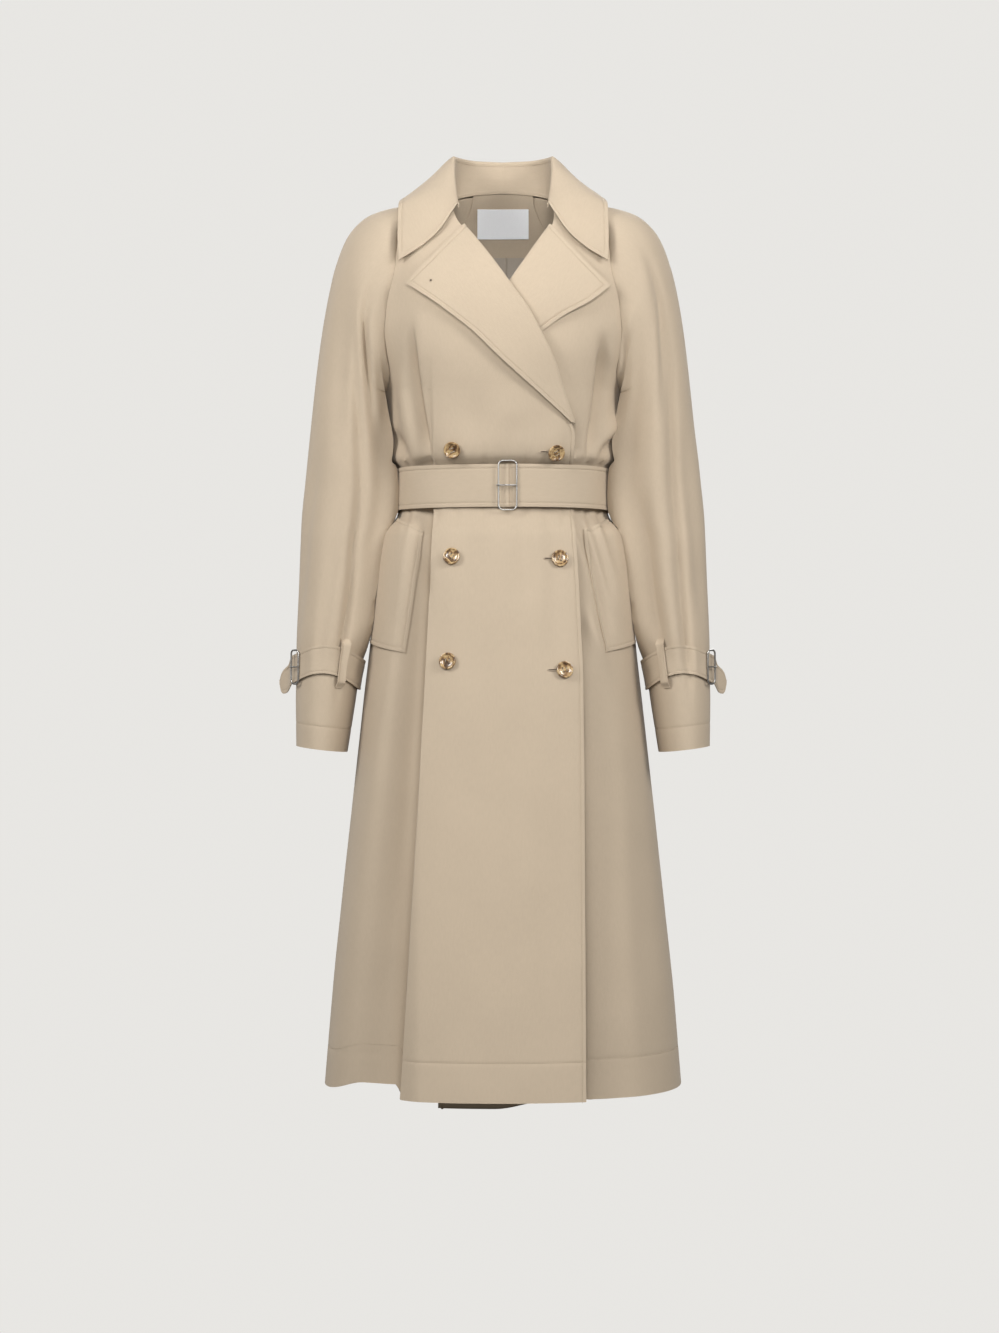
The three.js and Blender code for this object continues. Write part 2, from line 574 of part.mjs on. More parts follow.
// A point of the sleeve below the underarm, on the viewer's right; z is that of the outer line.
function tubePoint(turn, z, raised = 0) {
  const read = (column) => tableValue(SLEEVE, 'z', z, column);
  const width = read('outer') - read('inner');
  const section = {
    x: read('outer'),
    z,
    across: Math.hypot(width, read('drop')) / 2,
    depth: read('depth'),
    forward: -read('forward'),
    lean: Math.atan2(read('drop'), width) * 180 / Math.PI,
  };
  const point = sectionPoint(section, turn, raised);
  const padded = point.z < BELT_TOP_Z - BELT_WIDTH && point.z > CUFF_STRAP_Z ? DOUBLE + REST * 2 : 0;
  const start = smoothStep(point.z, UNDERARM_Z + 4, UNDERARM_Z - 10);
  const nearest = bodyReach(point.y, point.z) + (SLEEVE_CLEARANCE + padded) * start;
  if (point.z < UNDERARM_Z + 4) point.x = Math.max(point.x, nearest);
  return point;
}

function raglanPoint(face, part) {
  const z = tableValue(RAGLAN, 'part', part, `${face}Z`);
  const side = tableValue(RAGLAN, 'part', part, `${face}Side`);
  return bodyPoint(bodyAngle(side * bodySection(z).half, z, face), z);
}

// A point of the sleeve above the underarm: share is -1 at the front seam and 1 at the back one.
function shoulderPoint(share, part, raised = 0) {
  const read = (column) => tableValue(SHOULDER, 'part', part, column);
  const section = { x: read('x'), z: read('z'), across: read('across'), depth: read('depth'),
    forward: 0, lean: read('lean') };
  const turn = read('turn');
  const point = sectionPoint(section, share * turn, raised);
  const face = share < 0 ? 'front' : 'back';
  const end = sectionPoint(section, Math.sign(share) * turn, 0);
  const near = sectionPoint(section, Math.sign(share) * turn * 0.9, 0);
  const seam = raglanPoint(face, part);
  const pull = seam.clone().sub(end);
  const inwards = near.sub(end).normalize().multiplyScalar(SEAM * 1.5);
  pull.add(inwards);
  const soft = Math.abs(share) ** 2.2;
  const tilt = Math.abs(share) ** mix(1, 2.2, smoothStep(part, 0.1, 0.5));
  return point.add(pull.multiply(new THREE.Vector3(soft, soft, tilt)));
}

function mirrored(point, side) {
  point.x *= side;
  return point;
}

function sleeveSkin(side) {
  return (share, along) => {
    if (along <= raglanLast) {
      const whole = clamp(Math.floor(along), 0, raglanLast - 1);
      const part = mix(raglanParts[whole], raglanParts[whole + 1], along - whole);
      return mirrored(shoulderPoint(share, part), side);
    }
    const row = clamp(Math.floor(along - raglanLast), 0, SLEEVE_ROWS.length - 1);
    const above = row === 0 ? SHOULDER[SHOULDER.length - 1].z : SLEEVE_ROWS[row - 1];
    const z = mix(above, SLEEVE_ROWS[row], along - raglanLast - row);
    const point = tubePoint(share * 180, z);
    point.y -= Math.sign(share) * SEAM * 0.7 * Math.abs(share) ** 8;
    return mirrored(point, side);
  };
}

const sleeveRows = evenly(0, sleeveRowCount, sleeveRowCount);
const sleeveShares = evenly(-1, 1, SLEEVE_COLUMNS);
for (const [name, side] of [['right', -1], ['left', 1]]) {
  addPiece(`sleeve_${name}`, clothWall(sleeveSkin(side), sleeveShares, sleeveRows, { facing: -side }), 'gabardine');
}

// Lapels

// A point of the front at x and z, raised over the upper or the lower front.
function frontPoint(x, z, raised, lifted) {
  return bodyPoint(bodyAngle(x, z, 'front'), z, raised + (lifted ? overlapLift(x, z) : 0));
}

function lapelSkin(table, lifted) {
  const turns = LAPEL_TURN.length;
  return (across, along) => {
    const read = (column) => tableValue(table, 'row', along, column);
    const roll = new THREE.Vector2(read('rollX'), read('rollZ'));
    const edge = new THREE.Vector2(read('edgeX'), read('edgeZ'));
    const length = roll.distanceTo(edge);
    const towards = edge.clone().sub(roll).normalize();
    const section = LAPEL_TURN.map((row) => new THREE.Vector3(row.beyond, row.above, 0));
    section[turns - 1].x = -Math.min(5, length * 0.4);
    section.push(new THREE.Vector3(-length * 0.6, mix(LAPEL_TURN[turns - 1].above, read('rise'), 0.35), 0));
    section.push(new THREE.Vector3(-length, read('rise'), 0));
    const place = new THREE.CatmullRomCurve3(section).getPoint(clamp(across, 0, 1));
    place.x -= Math.max(across - 1, 0) * length;
    const at = roll.addScaledVector(towards, -place.x);
    return frontPoint(at.x, at.y, place.y, lifted);
  };
}

const lapelAcross = [0, 0.09, 0.18, 0.29, 0.42, 0.6, 0.8, 1];
addPiece('lapel_right', clothWall(lapelSkin(UPPER_LAPEL, true), lapelAcross,
  evenly(0, UPPER_LAPEL.length - 1, 12), { facing: 1 }), 'gabardine');
addPiece('lapel_left', clothWall(lapelSkin(LOWER_LAPEL, false), lapelAcross,
  evenly(0, LOWER_LAPEL.length - 1, 9), { facing: -1 }), 'gabardine');

// Collar

function collarLine(name, place) {
  const away = Math.min(Math.abs(place), 1);
  const read = (axis) => tableValue(COLLAR, 'place', away, name + axis);
  return new THREE.Vector3(Math.sign(place) * read('X'), read('Y'), read('Z'));
}

const STAND_TOP = 5.2;       // how far below the roll's crest the stand ends
const ROLL_WIDTH = 6.5;      // across the turned roll of the collar
const STAND_END = 0.93;      // place where the stand ends, just short of the fall's front end

function standSkin(across, along) {
  const seam = collarLine('seam', along);
  const roll = collarLine('roll', along);
  const height = seam.distanceTo(roll);
  return seam.lerp(roll, mix(SEAM * 2, height - STAND_TOP, across) / height);
}

function fallSkin(across, along) {
  const seam = collarLine('seam', along);
  const roll = collarLine('roll', along);
  const mid = collarLine('mid', along);
  const edge = collarLine('edge', along);
  const up = roll.clone().sub(seam);
  const height = up.length();
  up.normalize();
  const out = new THREE.Vector3(roll.x, roll.y, 0).normalize();
  out.addScaledVector(up, -out.dot(up)).normalize();
  const over = roll.clone().addScaledVector(out, ROLL_WIDTH);
  const curve = new THREE.QuadraticBezierCurve3(over, mid, edge);
  const section = [
    seam.clone().addScaledVector(up, height - STAND_TOP + SEAM * 1.5),
    roll.clone().addScaledVector(up, -1),
    roll.clone().addScaledVector(up, 1.4).addScaledVector(out, ROLL_WIDTH * 0.5),
    curve.getPoint(0.12),
    curve.getPoint(0.45),
    curve.getPoint(0.72),
    edge,
  ];
  const point = new THREE.CatmullRomCurve3(section).getPoint(clamp(across, 0, 1));
  return point.addScaledVector(edge.clone().sub(mid).normalize(), Math.max(across - 1, 0) * 60);
}

const collarPlaces = [-1, -0.975, -0.95, -0.91, -0.87, -0.81, -0.75, -0.685, -0.62, -0.5, -0.33, -0.16];
const collarAlong = [...collarPlaces, 0, ...collarPlaces.map((place) => -place).reverse()];
const standAlong = collarAlong.filter((place) => Math.abs(place) < STAND_END);
addPiece('collar_stand', clothWall(standSkin, [0, 0.5, 1], standAlong, { facing: -1 }), 'gabardine');
addPiece('collar_fall', clothWall(fallSkin, [0, 0.14, 0.26, 0.38, 0.52, 0.68, 0.84, 1], collarAlong,
  { thick: DOUBLE, facing: -1 }), 'gabardine');

// Inside of the back: facing, lining with its centre pleat, and the bare label

// A sheet inside the back: it hangs smooth, so lower down it stays clear of the folds.
function insideSkin(sideX, inwards) {
  return (across, z) => {
    const reach = mix(-sideX(z), sideX(z), across);
    const angle = bodyAngle(reach, z, 'back');
    const clear = mix(inwards, inwards + LINING_SLACK, smoothStep(z, -140, -225));
    return plainBody(angle, z).addScaledVector(outward(angle, z), -clear);
  };
}

const insideWidth = (z) => mix(40, 96, smoothStep(z, 12, -110));
const liningDepth = WALL + REST * 2.5;
const facingSkin = insideSkin(insideWidth, liningDepth);
addPiece('back_facing', clothWall(facingSkin, evenly(0, 1, 10), [9, -14, -40, FACING_LOW_Z + SEAM],
  { facing: 1 }), 'gabardine');
const liningSkin = insideSkin(insideWidth, liningDepth);
addPiece('lining', clothWall(liningSkin, evenly(0, 1, 12),
  [FACING_LOW_Z - SEAM, -110, -160, -210, -250, -290, -315, LINING_LOW_Z], { facing: 1 }), 'lining');
const labelSkin = insideSkin(() => LABEL.width / 2, liningDepth + WALL + REST * 1.5);
addPiece('label', clothWall(labelSkin, evenly(0, 1, 4),
  evenly(LABEL.topZ, LABEL.topZ - LABEL.height, 2), { thick: LABEL.thickness, facing: 1 }), 'label');

// Belt

function beltSkin(across, way) {
  const raised = tableValue(BELT, 'way', way, 'raised');
  const point = plainBody(way, WAIST_Z);
  const ahead = plainBody(way + 0.5, WAIST_Z).sub(plainBody(way - 0.5, WAIST_Z)).normalize();
  point.x += ahead.y * raised;
  point.y -= ahead.x * raised;
  point.z = BELT_TOP_Z - across * BELT_WIDTH;
  return point;
}

const beltWays = [-86, ...evenly(-78, 258, 28), 266, 272, 280, 290, 300, 312];
addPiece('belt', clothWall(beltSkin, [0, 1], beltWays, { thick: DOUBLE, facing: 1 }), 'gabardine');

// A thin strip that is carried over the belt at a side seam.
function beltLoopSkin(side) {
  return (across, z) => {
    const y = mix(-BELT_LOOP.width / 2, BELT_LOOP.width / 2, across);
    const { half } = bodySection(z);
    const x = Math.max(half + WALL + REST * 3, bodySection(WAIST_Z).half + BELT_LOOP.raised);
    return new THREE.Vector3(side * x, y, z);
  };
}
for (const [name, side] of [['right', -1], ['left', 1]]) {
  const loopZ = [BELT_LOOP.topZ, BELT_LOOP.topZ - 6, BELT_TOP_Z - BELT_WIDTH - 4, BELT_LOOP.lowZ];
  addPiece(`belt_loop_${name}`, clothWall(beltLoopSkin(side), [0, 1], loopZ, { facing: -side }), 'gabardine');
}

// Pocket welts

function weltSkin(side) {
  return (across, along) => {
    const z = along - WELT_SLOPE * (1 - across);
    const front = bodyAngle(tableValue(WELT, 'z', along, 'frontX'), z, 'front');
    const open = bodyAngle(tableValue(WELT, 'z', along, 'openShare') * bodySection(z).half, z, 'front');
    const angle = mix(front, open, across);
    const raised = DOUBLE + REST * 4;
    if (side > 0) return bodyPoint(angle, z, raised);
    const turned = -180 - angle;
    return bodyPoint(turned, z, raised + overlapLift(plainBody(turned, z).x, z));
  };
}
for (const [name, side] of [['right', -1], ['left', 1]]) {
  addPiece(`pocket_welt_${name}`, clothWall(weltSkin(side), evenly(0, 1, 5),
    evenly(WELT[0].z, WELT[2].z, 8), { thick: DOUBLE, facing: -side }), 'gabardine');
}

// Cuff straps, their loops and buckles

function strapZ(turn) {
  return CUFF_STRAP_Z + CUFF_STRAP_ARCH * Math.max(0, -Math.sin(radians(turn)));
}

function strapSkin(side) {
  return (across, way) => {
    const half = tableValue(CUFF_STRAP, 'way', way, 'half');
    const z = strapZ(way) + half * (1 - 2 * across);
    return mirrored(tubePoint(way, z, tableValue(CUFF_STRAP, 'way', way, 'raised')), side);
  };
}

function cuffLoopSkin(side) {
  return (across, z) => {
    const middle = strapZ(CUFF_LOOP.turn);
    const fromEnd = CUFF_LOOP.height / 2 - Math.abs(z - middle);
    const over = mix(WALL + REST, CUFF_LOOP.raised, smoothStep(fromEnd, 0, CUFF_LOOP.ramp));
    const turn = CUFF_LOOP.turn + (0.5 - across) * CUFF_LOOP.width;
    return mirrored(tubePoint(turn, z, over), side);
  };
}

// A rounded frame of wire, in the XZ plane, its back face at y = 0.
function frameGeometry({ width, height, wire, corner }) {
  const rounded = (shape, w, h, r) => {
    shape.moveTo(-w / 2 + r, -h / 2);
    shape.lineTo(w / 2 - r, -h / 2);
    shape.absarc(w / 2 - r, -h / 2 + r, r, -Math.PI / 2, 0, false);
    shape.lineTo(w / 2, h / 2 - r);
    shape.absarc(w / 2 - r, h / 2 - r, r, 0, Math.PI / 2, false);
    shape.lineTo(-w / 2 + r, h / 2);
    shape.absarc(-w / 2 + r, h / 2 - r, r, Math.PI / 2, Math.PI, false);
    shape.lineTo(-w / 2, -h / 2 + r);
    shape.absarc(-w / 2 + r, -h / 2 + r, r, Math.PI, Math.PI * 1.5, false);
    return shape;
  };
  const outer = rounded(new THREE.Shape(), width, height, corner);
  outer.holes.push(rounded(new THREE.Path(), width - 2 * wire, height - 2 * wire, corner - wire * 0.6));
  const geometry = new THREE.ExtrudeGeometry(outer, { depth: wire, bevelEnabled: false, curveSegments: 2 });
  geometry.rotateX(Math.PI / 2);
  return geometry;
}

const loopMiddle = strapZ(CUFF_LOOP.turn);
const loopRows = evenly(loopMiddle + CUFF_LOOP.height / 2, loopMiddle - CUFF_LOOP.height / 2, 14);
const strapWays = [...evenly(2, 318, 20), 331, 343, 350, 356, 361, 366, 371];
const CUFF_BUCKLE_TURN = -34;
const CUFF_BUCKLE_RAISED = 6.2;
for (const [name, side] of [['right', -1], ['left', 1]]) {
  addPiece(`cuff_strap_${name}`, clothWall(strapSkin(side), [0, 1], strapWays,
    { thick: WALL, facing: side }), 'gabardine');
  addPiece(`cuff_loop_${name}`, clothWall(cuffLoopSkin(side), [0, 1], loopRows, { facing: side }), 'gabardine');
  const buckle = addPiece(`cuff_buckle_${name}`, frameGeometry(CUFF_BUCKLE), 'steel');
  buckle.position.copy(mirrored(tubePoint(CUFF_BUCKLE_TURN, strapZ(CUFF_BUCKLE_TURN), CUFF_BUCKLE_RAISED), side));
  buckle.rotation.z = side * radians(48);
}

// Belt buckle

const buckleFace = beltSkin(0, -86).y - REST - 0.4;
const beltMiddleZ = BELT_TOP_Z - BELT_WIDTH / 2;
const BUCKLE_X = 5.6;
const beltBuckle = addPiece('belt_buckle', frameGeometry(BELT_BUCKLE), 'steel');
beltBuckle.position.set(BUCKLE_X, buckleFace, beltMiddleZ);
const prong = addPiece('belt_prong', new THREE.BoxGeometry(BELT_BUCKLE.width, 2.2, 3), 'steel');
prong.position.set(BUCKLE_X - 1.5, buckleFace - BELT_BUCKLE.wire - REST - 1.1, beltMiddleZ);

// Buttons

function buttonGeometry() {
  const radius = BUTTON_DIAMETER / 2;
  const profile = [
    [0, -SHANK.height], [SHANK.radius, -SHANK.height], [SHANK.radius, 0], [radius * 0.7, 0],
    [radius, BUTTON_THICKNESS * 0.5], [radius * 0.93, BUTTON_THICKNESS], [radius * 0.78, BUTTON_THICKNESS * 0.95],
    [radius * 0.66, BUTTON_THICKNESS * 0.62], [0, BUTTON_THICKNESS * 0.55],
  ].map(([r, h]) => new THREE.Vector2(r, h));
  return new THREE.LatheGeometry(profile, 12);
}

// Where a line straight into the front meets the faces of the upper front.
function seatOnFront(x, z) {
  const ray = new THREE.Raycaster(new THREE.Vector3(x, -400, z), new THREE.Vector3(0, 1, 0));
  return ray.intersectObject(upperFrontMesh)[0].point;
}

BUTTONS.forEach(({ x, z }, index) => {
  const button = addPiece(`button_${index + 1}`, buttonGeometry(), 'horn');
  const normal = frontPoint(x, z, 1, true).sub(frontPoint(x, z, 0, true)).normalize();
  button.position.copy(seatOnFront(x, z).addScaledVector(normal, SHANK.height + REST));
  button.quaternion.setFromUnitVectors(new THREE.Vector3(0, 1, 0), normal);
});

export default coat;
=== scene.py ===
"""A belted double-breasted raglan trench coat, worn and hollow, dressed for a studio view.

Lengths are in millimetres until a mesh is written. +Z is up, the front faces -Y, and +X is the
viewer's right. The origin is in the middle of the neck.
"""
import logging
import math
from dataclasses import dataclass, field
from enum import Enum
from typing import Callable, Optional, Sequence

import bmesh
import bpy
import numpy as np
from mathutils import Matrix, Vector


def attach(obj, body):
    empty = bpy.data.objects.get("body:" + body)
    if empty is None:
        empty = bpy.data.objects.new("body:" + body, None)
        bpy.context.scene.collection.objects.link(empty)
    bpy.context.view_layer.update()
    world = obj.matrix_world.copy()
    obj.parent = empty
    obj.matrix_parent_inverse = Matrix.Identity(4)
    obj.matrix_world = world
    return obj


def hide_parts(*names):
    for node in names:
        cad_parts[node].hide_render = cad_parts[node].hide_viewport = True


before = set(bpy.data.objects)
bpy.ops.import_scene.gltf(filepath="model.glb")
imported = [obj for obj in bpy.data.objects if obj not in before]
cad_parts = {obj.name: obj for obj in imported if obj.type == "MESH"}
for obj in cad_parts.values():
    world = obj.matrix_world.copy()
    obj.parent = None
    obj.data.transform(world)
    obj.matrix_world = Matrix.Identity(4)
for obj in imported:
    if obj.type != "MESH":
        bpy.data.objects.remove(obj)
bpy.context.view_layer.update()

Array = np.ndarray
Skin = Callable[[Array, Array], Array]

log = logging.getLogger("trench_coat")

MM = 0.001
BODY_NAME = "root"
CLOTH_UV = "cloth"

# Levels and thicknesses, as in the solids
CLOTH = 1.3
TURNED = 1.9
NECK_Z = 12.0
UNDERARM_Z = -262.0
BELT_TOP_Z = -357.0
BELT_WIDTH = 54.0
WAIST_Z = -384.0
HEM_Z = -1150.0
HEM_DEPTH = 49.0


class Side(Enum):
    """The wearer's side of a paired piece, with the sign of its X."""

    RIGHT = -1
    LEFT = 1

    @property
    def word(self) -> str:
        """The side's name in a node's name."""
        return self.name.lower()


class Face(Enum):
    """The half of the body that a fold or a point lies on."""

    FRONT = "front"
    BACK = "back"


# Numbers


def smooth_step(value: Array, start: float, end: float) -> Array:
    """Rise softly from 0 at start to 1 at end.

    Args:
        value: Places to read.
        start: Place of 0.
        end: Place of 1.

    Returns:
        Shares from 0 to 1.
    """
    share = np.clip((value - start) / (end - start), 0, 1)
    return share * share * (3 - 2 * share)


def mix(a: Array, b: Array, share: Array) -> Array:
    """Blend from a to b.

    Args:
        a: Value at share 0.
        b: Value at share 1.
        share: How far from a to b.

    Returns:
        The blend.
    """
    return a + (b - a) * share


def unit(vectors: Array) -> Array:
    """Scale vectors on the last axis to length 1.

    Args:
        vectors: Any array of vectors.

    Returns:
        The unit vectors.
    """
    length = np.linalg.norm(vectors, axis=-1, keepdims=True)
    return vectors / np.maximum(length, 1e-12)


def xyz(x: Array, y: Array, z: Array) -> Array:
    """Join three arrays of coordinates into points.

    Args:
        x: Values to the viewer's right.
        y: Values away from the viewer.
        z: Values upwards.

    Returns:
        Points on a new last axis.
    """
    return np.stack(np.broadcast_arrays(x, y, z), axis=-1)


def hump(away: Array, width: float) -> Array:
    """A soft round bump of height 1.

    Args:
        away: Distances from its middle.
        width: Distance at which it has fallen to about a third.

    Returns:
        Heights from 0 to 1.
    """
    return np.exp(-((away / width) ** 2))


def catmull(points: Sequence[Array], place: Array) -> Array:
    """Read a smooth curve through points, spaced by the root of their distances.

    Args:
        points: The points that the curve passes, each an array of vectors.
        place: Shares of the way along, with the vectors' leading shape.

    Returns:
        One vector for each share.
    """
    spans = len(points) - 1
    stack = np.stack(list(np.broadcast_arrays(*points)))
    first = 2 * stack[:1] - stack[1:2]
    last = 2 * stack[-1:] - stack[-2:-1]
    stack = np.concatenate([first, stack, last])
    way = np.clip(place, 0, 1) * spans
    whole = np.minimum(np.floor(way).astype(int), spans - 1)
    t = (way - whole)[..., None]
    pick = [np.take_along_axis(stack, (whole + k)[None, ..., None], 0)[0] for k in range(4)]
    gaps = [np.linalg.norm(pick[k + 1] - pick[k], axis=-1, keepdims=True) ** 0.5 for k in range(3)]
    gap_1 = np.where(gaps[1] < 1e-4, 1.0, gaps[1])
    gap_0 = np.where(gaps[0] < 1e-4, gap_1, gaps[0])
    gap_2 = np.where(gaps[2] < 1e-4, gap_1, gaps[2])
    one = pick[2] - pick[1]
    start = (pick[1] - pick[0]) / gap_0 - (pick[2] - pick[0]) / (gap_0 + gap_1) + one / gap_1
    end = one / gap_1 - (pick[3] - pick[1]) / (gap_1 + gap_2) + (pick[3] - pick[2]) / gap_2
    start, end = start * gap_1, end * gap_1
    cube = -2 * one + start + end
    square = 3 * one - 2 * start - end
    return pick[1] + start * t + square * t ** 2 + cube * t ** 3


class Table:
    """Rows of named sizes, read on smooth curves that never overshoot the rows."""

    def __init__(self, columns: str, rows: Sequence[Sequence[float]]) -> None:
        """Keep the rows in rising order of the first column.

        Args:
            columns: Names of the columns, the first of them the place to read at.
            rows: The sizes.
        """
        self.names = columns.split()
        values = np.array(rows, float)
        self.values = values if values[-1, 0] > values[0, 0] else values[::-1]
        place = self.values[:, 0]
        slope = np.diff(self.values, axis=0) / np.diff(place)[:, None]
        before, after = slope[:-1], slope[1:]
        total = np.where(before + after == 0, 1, before + after)
        inner = np.where(before * after <= 0, 0, 2 * before * after / total)
        self.tangent = np.concatenate([slope[:1], inner, slope[-1:]])

    def read(self, name: str, place: Array) -> Array:
        """Read one column.

        Args:
            name: The column.
            place: Places to read at.

        Returns:
            The sizes there.
        """
        key = self.values[:, 0]
        column = self.names.index(name)
        at = np.clip(np.asarray(place, float), key[0], key[-1])
        row = np.clip(np.searchsorted(key, at) - 1, 0, len(key) - 2)
        span = key[row + 1] - key[row]
        t = (at - key[row]) / span
        low, high = self.values[row, column], self.values[row + 1, column]
        rise, fall = self.tangent[row, column], self.tangent[row + 1, column]
        smooth = (1 + 2 * t) * (1 - t) ** 2 * low + t * t * (3 - 2 * t) * high
        return smooth + t * (1 - t) ** 2 * span * rise + t * t * (t - 1) * span * fall


# Sizes of the coat

BODY = Table("z half front back square", [
    (14, 74, 46, 64, 2.0), (0, 100, 52, 71, 2.0), (-20, 146, 62, 82, 2.05), (-56, 190, 86, 98, 2.1),
    (-96, 202, 107, 109, 2.2), (-135, 203, 120, 114, 2.2), (-178, 194, 128, 116, 2.25),
    (-214, 176, 130, 116, 2.3), (-240, 161, 129, 115, 2.3), (-262, 153, 128, 113, 2.3),
    (-300, 149, 127, 111, 2.3), (-328, 147, 125, 110, 2.3), (-347, 145, 121, 108, 2.3),
    (-357, 136.5, 105.5, 101.5, 2.25), (-384, 135, 104, 100, 2.2), (-414, 136.5, 105.5, 101.5, 2.2),
    (-446, 159, 119, 118, 2.25), (-513, 167, 128, 131, 2.3), (-578, 172, 133, 140, 2.3),
    (-650, 180, 139, 149, 2.3), (-786, 195, 150, 163, 2.3), (-916, 209, 160, 175, 2.3),
    (-1020, 220, 168, 184, 2.3), (-1150, 231, 177, 194, 2.3),
])
OVERLAP_LIFT = Table("z lift", [
    (-54, 0.4), (-95, 4.5), (-135, 7.8), (-215, 7.8), (-262, 6.5), (-330, 5), (-350, 3.5), (-418, 3.5),
    (-450, 5.5), (-650, 9), (-900, 12), (-1150, 14),
])
LIFT_START_X, LIFT_END_X = -140, -98
UPPER_EDGE = Table("z x", [
    (-54, -51), (-95, -21.5), (-135, 6), (-170, 30), (-201, 46), (-231, 60), (-265, 70), (-296, 80),
    (-322, 88), (-384, 88), (-527, 93), (-637, 97), (-1150, 99),
])
LOWER_EDGE = Table("z x", [
    (-54, 61), (-95, 34), (-137, 6), (-168, -12.5), (-200, -29), (-224, -41), (-265, -58), (-322, -76),
    (-384, -78), (-637, -82), (-1150, -86),
])
EDGE_TOP_Z = -54.0
RAGLAN = Table("part front_z front_side back_z back_side", [
    (0, -24, 0.42, 4, 0.62), (0.15, -38, 0.62, -18, 0.72), (0.3, -58, 0.69, -48, 0.72),
    (0.45, -96, 0.675, -92, 0.7), (0.6, -150, 0.73, -146, 0.73), (0.75, -200, 0.815, -198, 0.81),
    (0.88, -240, 0.9, -238, 0.9), (0.95, -256, 0.965, -255, 0.965), (1, UNDERARM_Z, 1, UNDERARM_Z, 1),
])
SHOULDER = Table("part x z across depth turn lean", [
    (0, 75, -7, 3, 56, 90, 90), (0.15, 110, -13, 15, 64, 90, 90), (0.3, 142, -18, 36, 75, 92, 84),
    (0.45, 172, -27, 62, 82, 96, 72), (0.6, 199, -51, 66, 84, 108, 54), (0.75, 218, -96, 62, 84, 128, 38),
    (0.88, 230, -150, 54, 82, 152, 29), (0.95, 236, -190, 50, 80, 168, 25),
    (1, 241, -226, 47.5, 79, 180, 22),
])
SLEEVE = Table("z outer inner depth forward drop", [
    (-226, 241, 153, 79, 0, 36), (-258, 245, 149, 78, 1, 33), (-318, 251, 139, 75, 3, 24),
    (-370, 256, 137, 71, 6, 15), (-422, 261, 143, 69, 8, 9), (-446, 262, 150, 68, 10, 7),
    (-500, 264, 158, 66, 12, 5), (-578, 267, 176, 63, 15, 5), (-630, 268, 187, 61, 17, 6),
    (-714, 267, 201, 58, 20, 8),
])
SLEEVE_TOP_Z, SLEEVE_LOW_Z = -226.0, -714.0
SLEEVE_CLEARANCE = 1.2
WELT_ROOM = 3.0              # more clearance where the sleeve passes a pocket
LOOP_ROOM = 3.2              # and the belt loops
BELT_ROOM = 6.4              # more clearance where it passes the belt
UPPER_LAPEL = Table("row roll_x roll_z edge_x edge_z rise", [
    (0, -51, -54, -117, -133, 11), (1, -21.5, -95, -98, -147, 10.5), (2, 6, -135, -73, -165, 10),
    (3, 30, -170, -41, -190, 9.5), (4, 46, -201, -14, -216, 9), (5, 60, -231, 16, -244, 8.5),
    (6, 70, -265, 44, -270, 7.5), (7, 83, -305, 81, -304.5, 4.6),
])
LOWER_LAPEL = Table("row roll_x roll_z edge_x edge_z rise", [
    (0, 61, -54, 130, -134, 13), (1, 34, -95, 107, -154, 10.5), (2, 6, -137, 74, -173, 7),
    (3, -12.5, -168, 43, -196, 3.6), (4, -29, -200, 11, -218, 2.8), (5, -40, -222, -20, -231, 2.6),
])
LAPEL_TURN = [(2.4, -1.6), (4, 0.6), (3.4, 2.9), (0.6, 4.2), (-5, 4.2)]
COLLAR = Table("place seam_x seam_y seam_z roll_x roll_y roll_z mid_x mid_y mid_z edge_x edge_y edge_z", [
    (0, 0, 63, 13, 0, 62, 54, 0, 86, 44, 0, 98, -26),
    (0.3, 35, 61, 10.5, 34, 55, 54, 46, 78, 44, 52, 95, -27),
    (0.5, 57, 54, 5.5, 54, 35, 53.5, 80, 54, 40, 98, 80, -26),
    (0.62, 69, 30, -1, 61, 14, 52, 89, 24, 36, 122, 42, -9),
    (0.75, 75, 0, -5, 62, -8, 36, 92, -8, 26, 132, -2, -7),
    (0.87, 71, -34, -11, 60, -32, 6, 90, -44, 5, 134, -54, -19),
    (0.95, 63, -57, -22, 57.5, -48, -13, 80, -86, -36, 134, -84, -64),
    (1, 59, -65, -32, 56, -58, -23, 74, -101, -67, 132, -97, -98),
])
STAND_TOP, ROLL_WIDTH, STAND_END = 5.2, 6.5, 0.93
BELT = Table("way raised", [(-86, 11.8), (-45, 11.8), (-15, 5.8), (190, 5.8), (222, 9.1), (312, 9.1)])
WELT = Table("z front_x open_share", [(-588, 129, 0.975), (-500, 115, 0.955), (-428, 104, 0.93)])
WELT_SLOPE = 12.0
CUFF_STRAP = Table("way raised half", [
    (2, 4.4, 18), (318, 4.4, 18), (343, 7.2, 18), (356, 11, 18), (364, 17, 16.5), (368, 21, 12),
    (371, 24, 2.5),
])
CUFF_STRAP_Z, CUFF_STRAP_ARCH = -618.0, 18.0


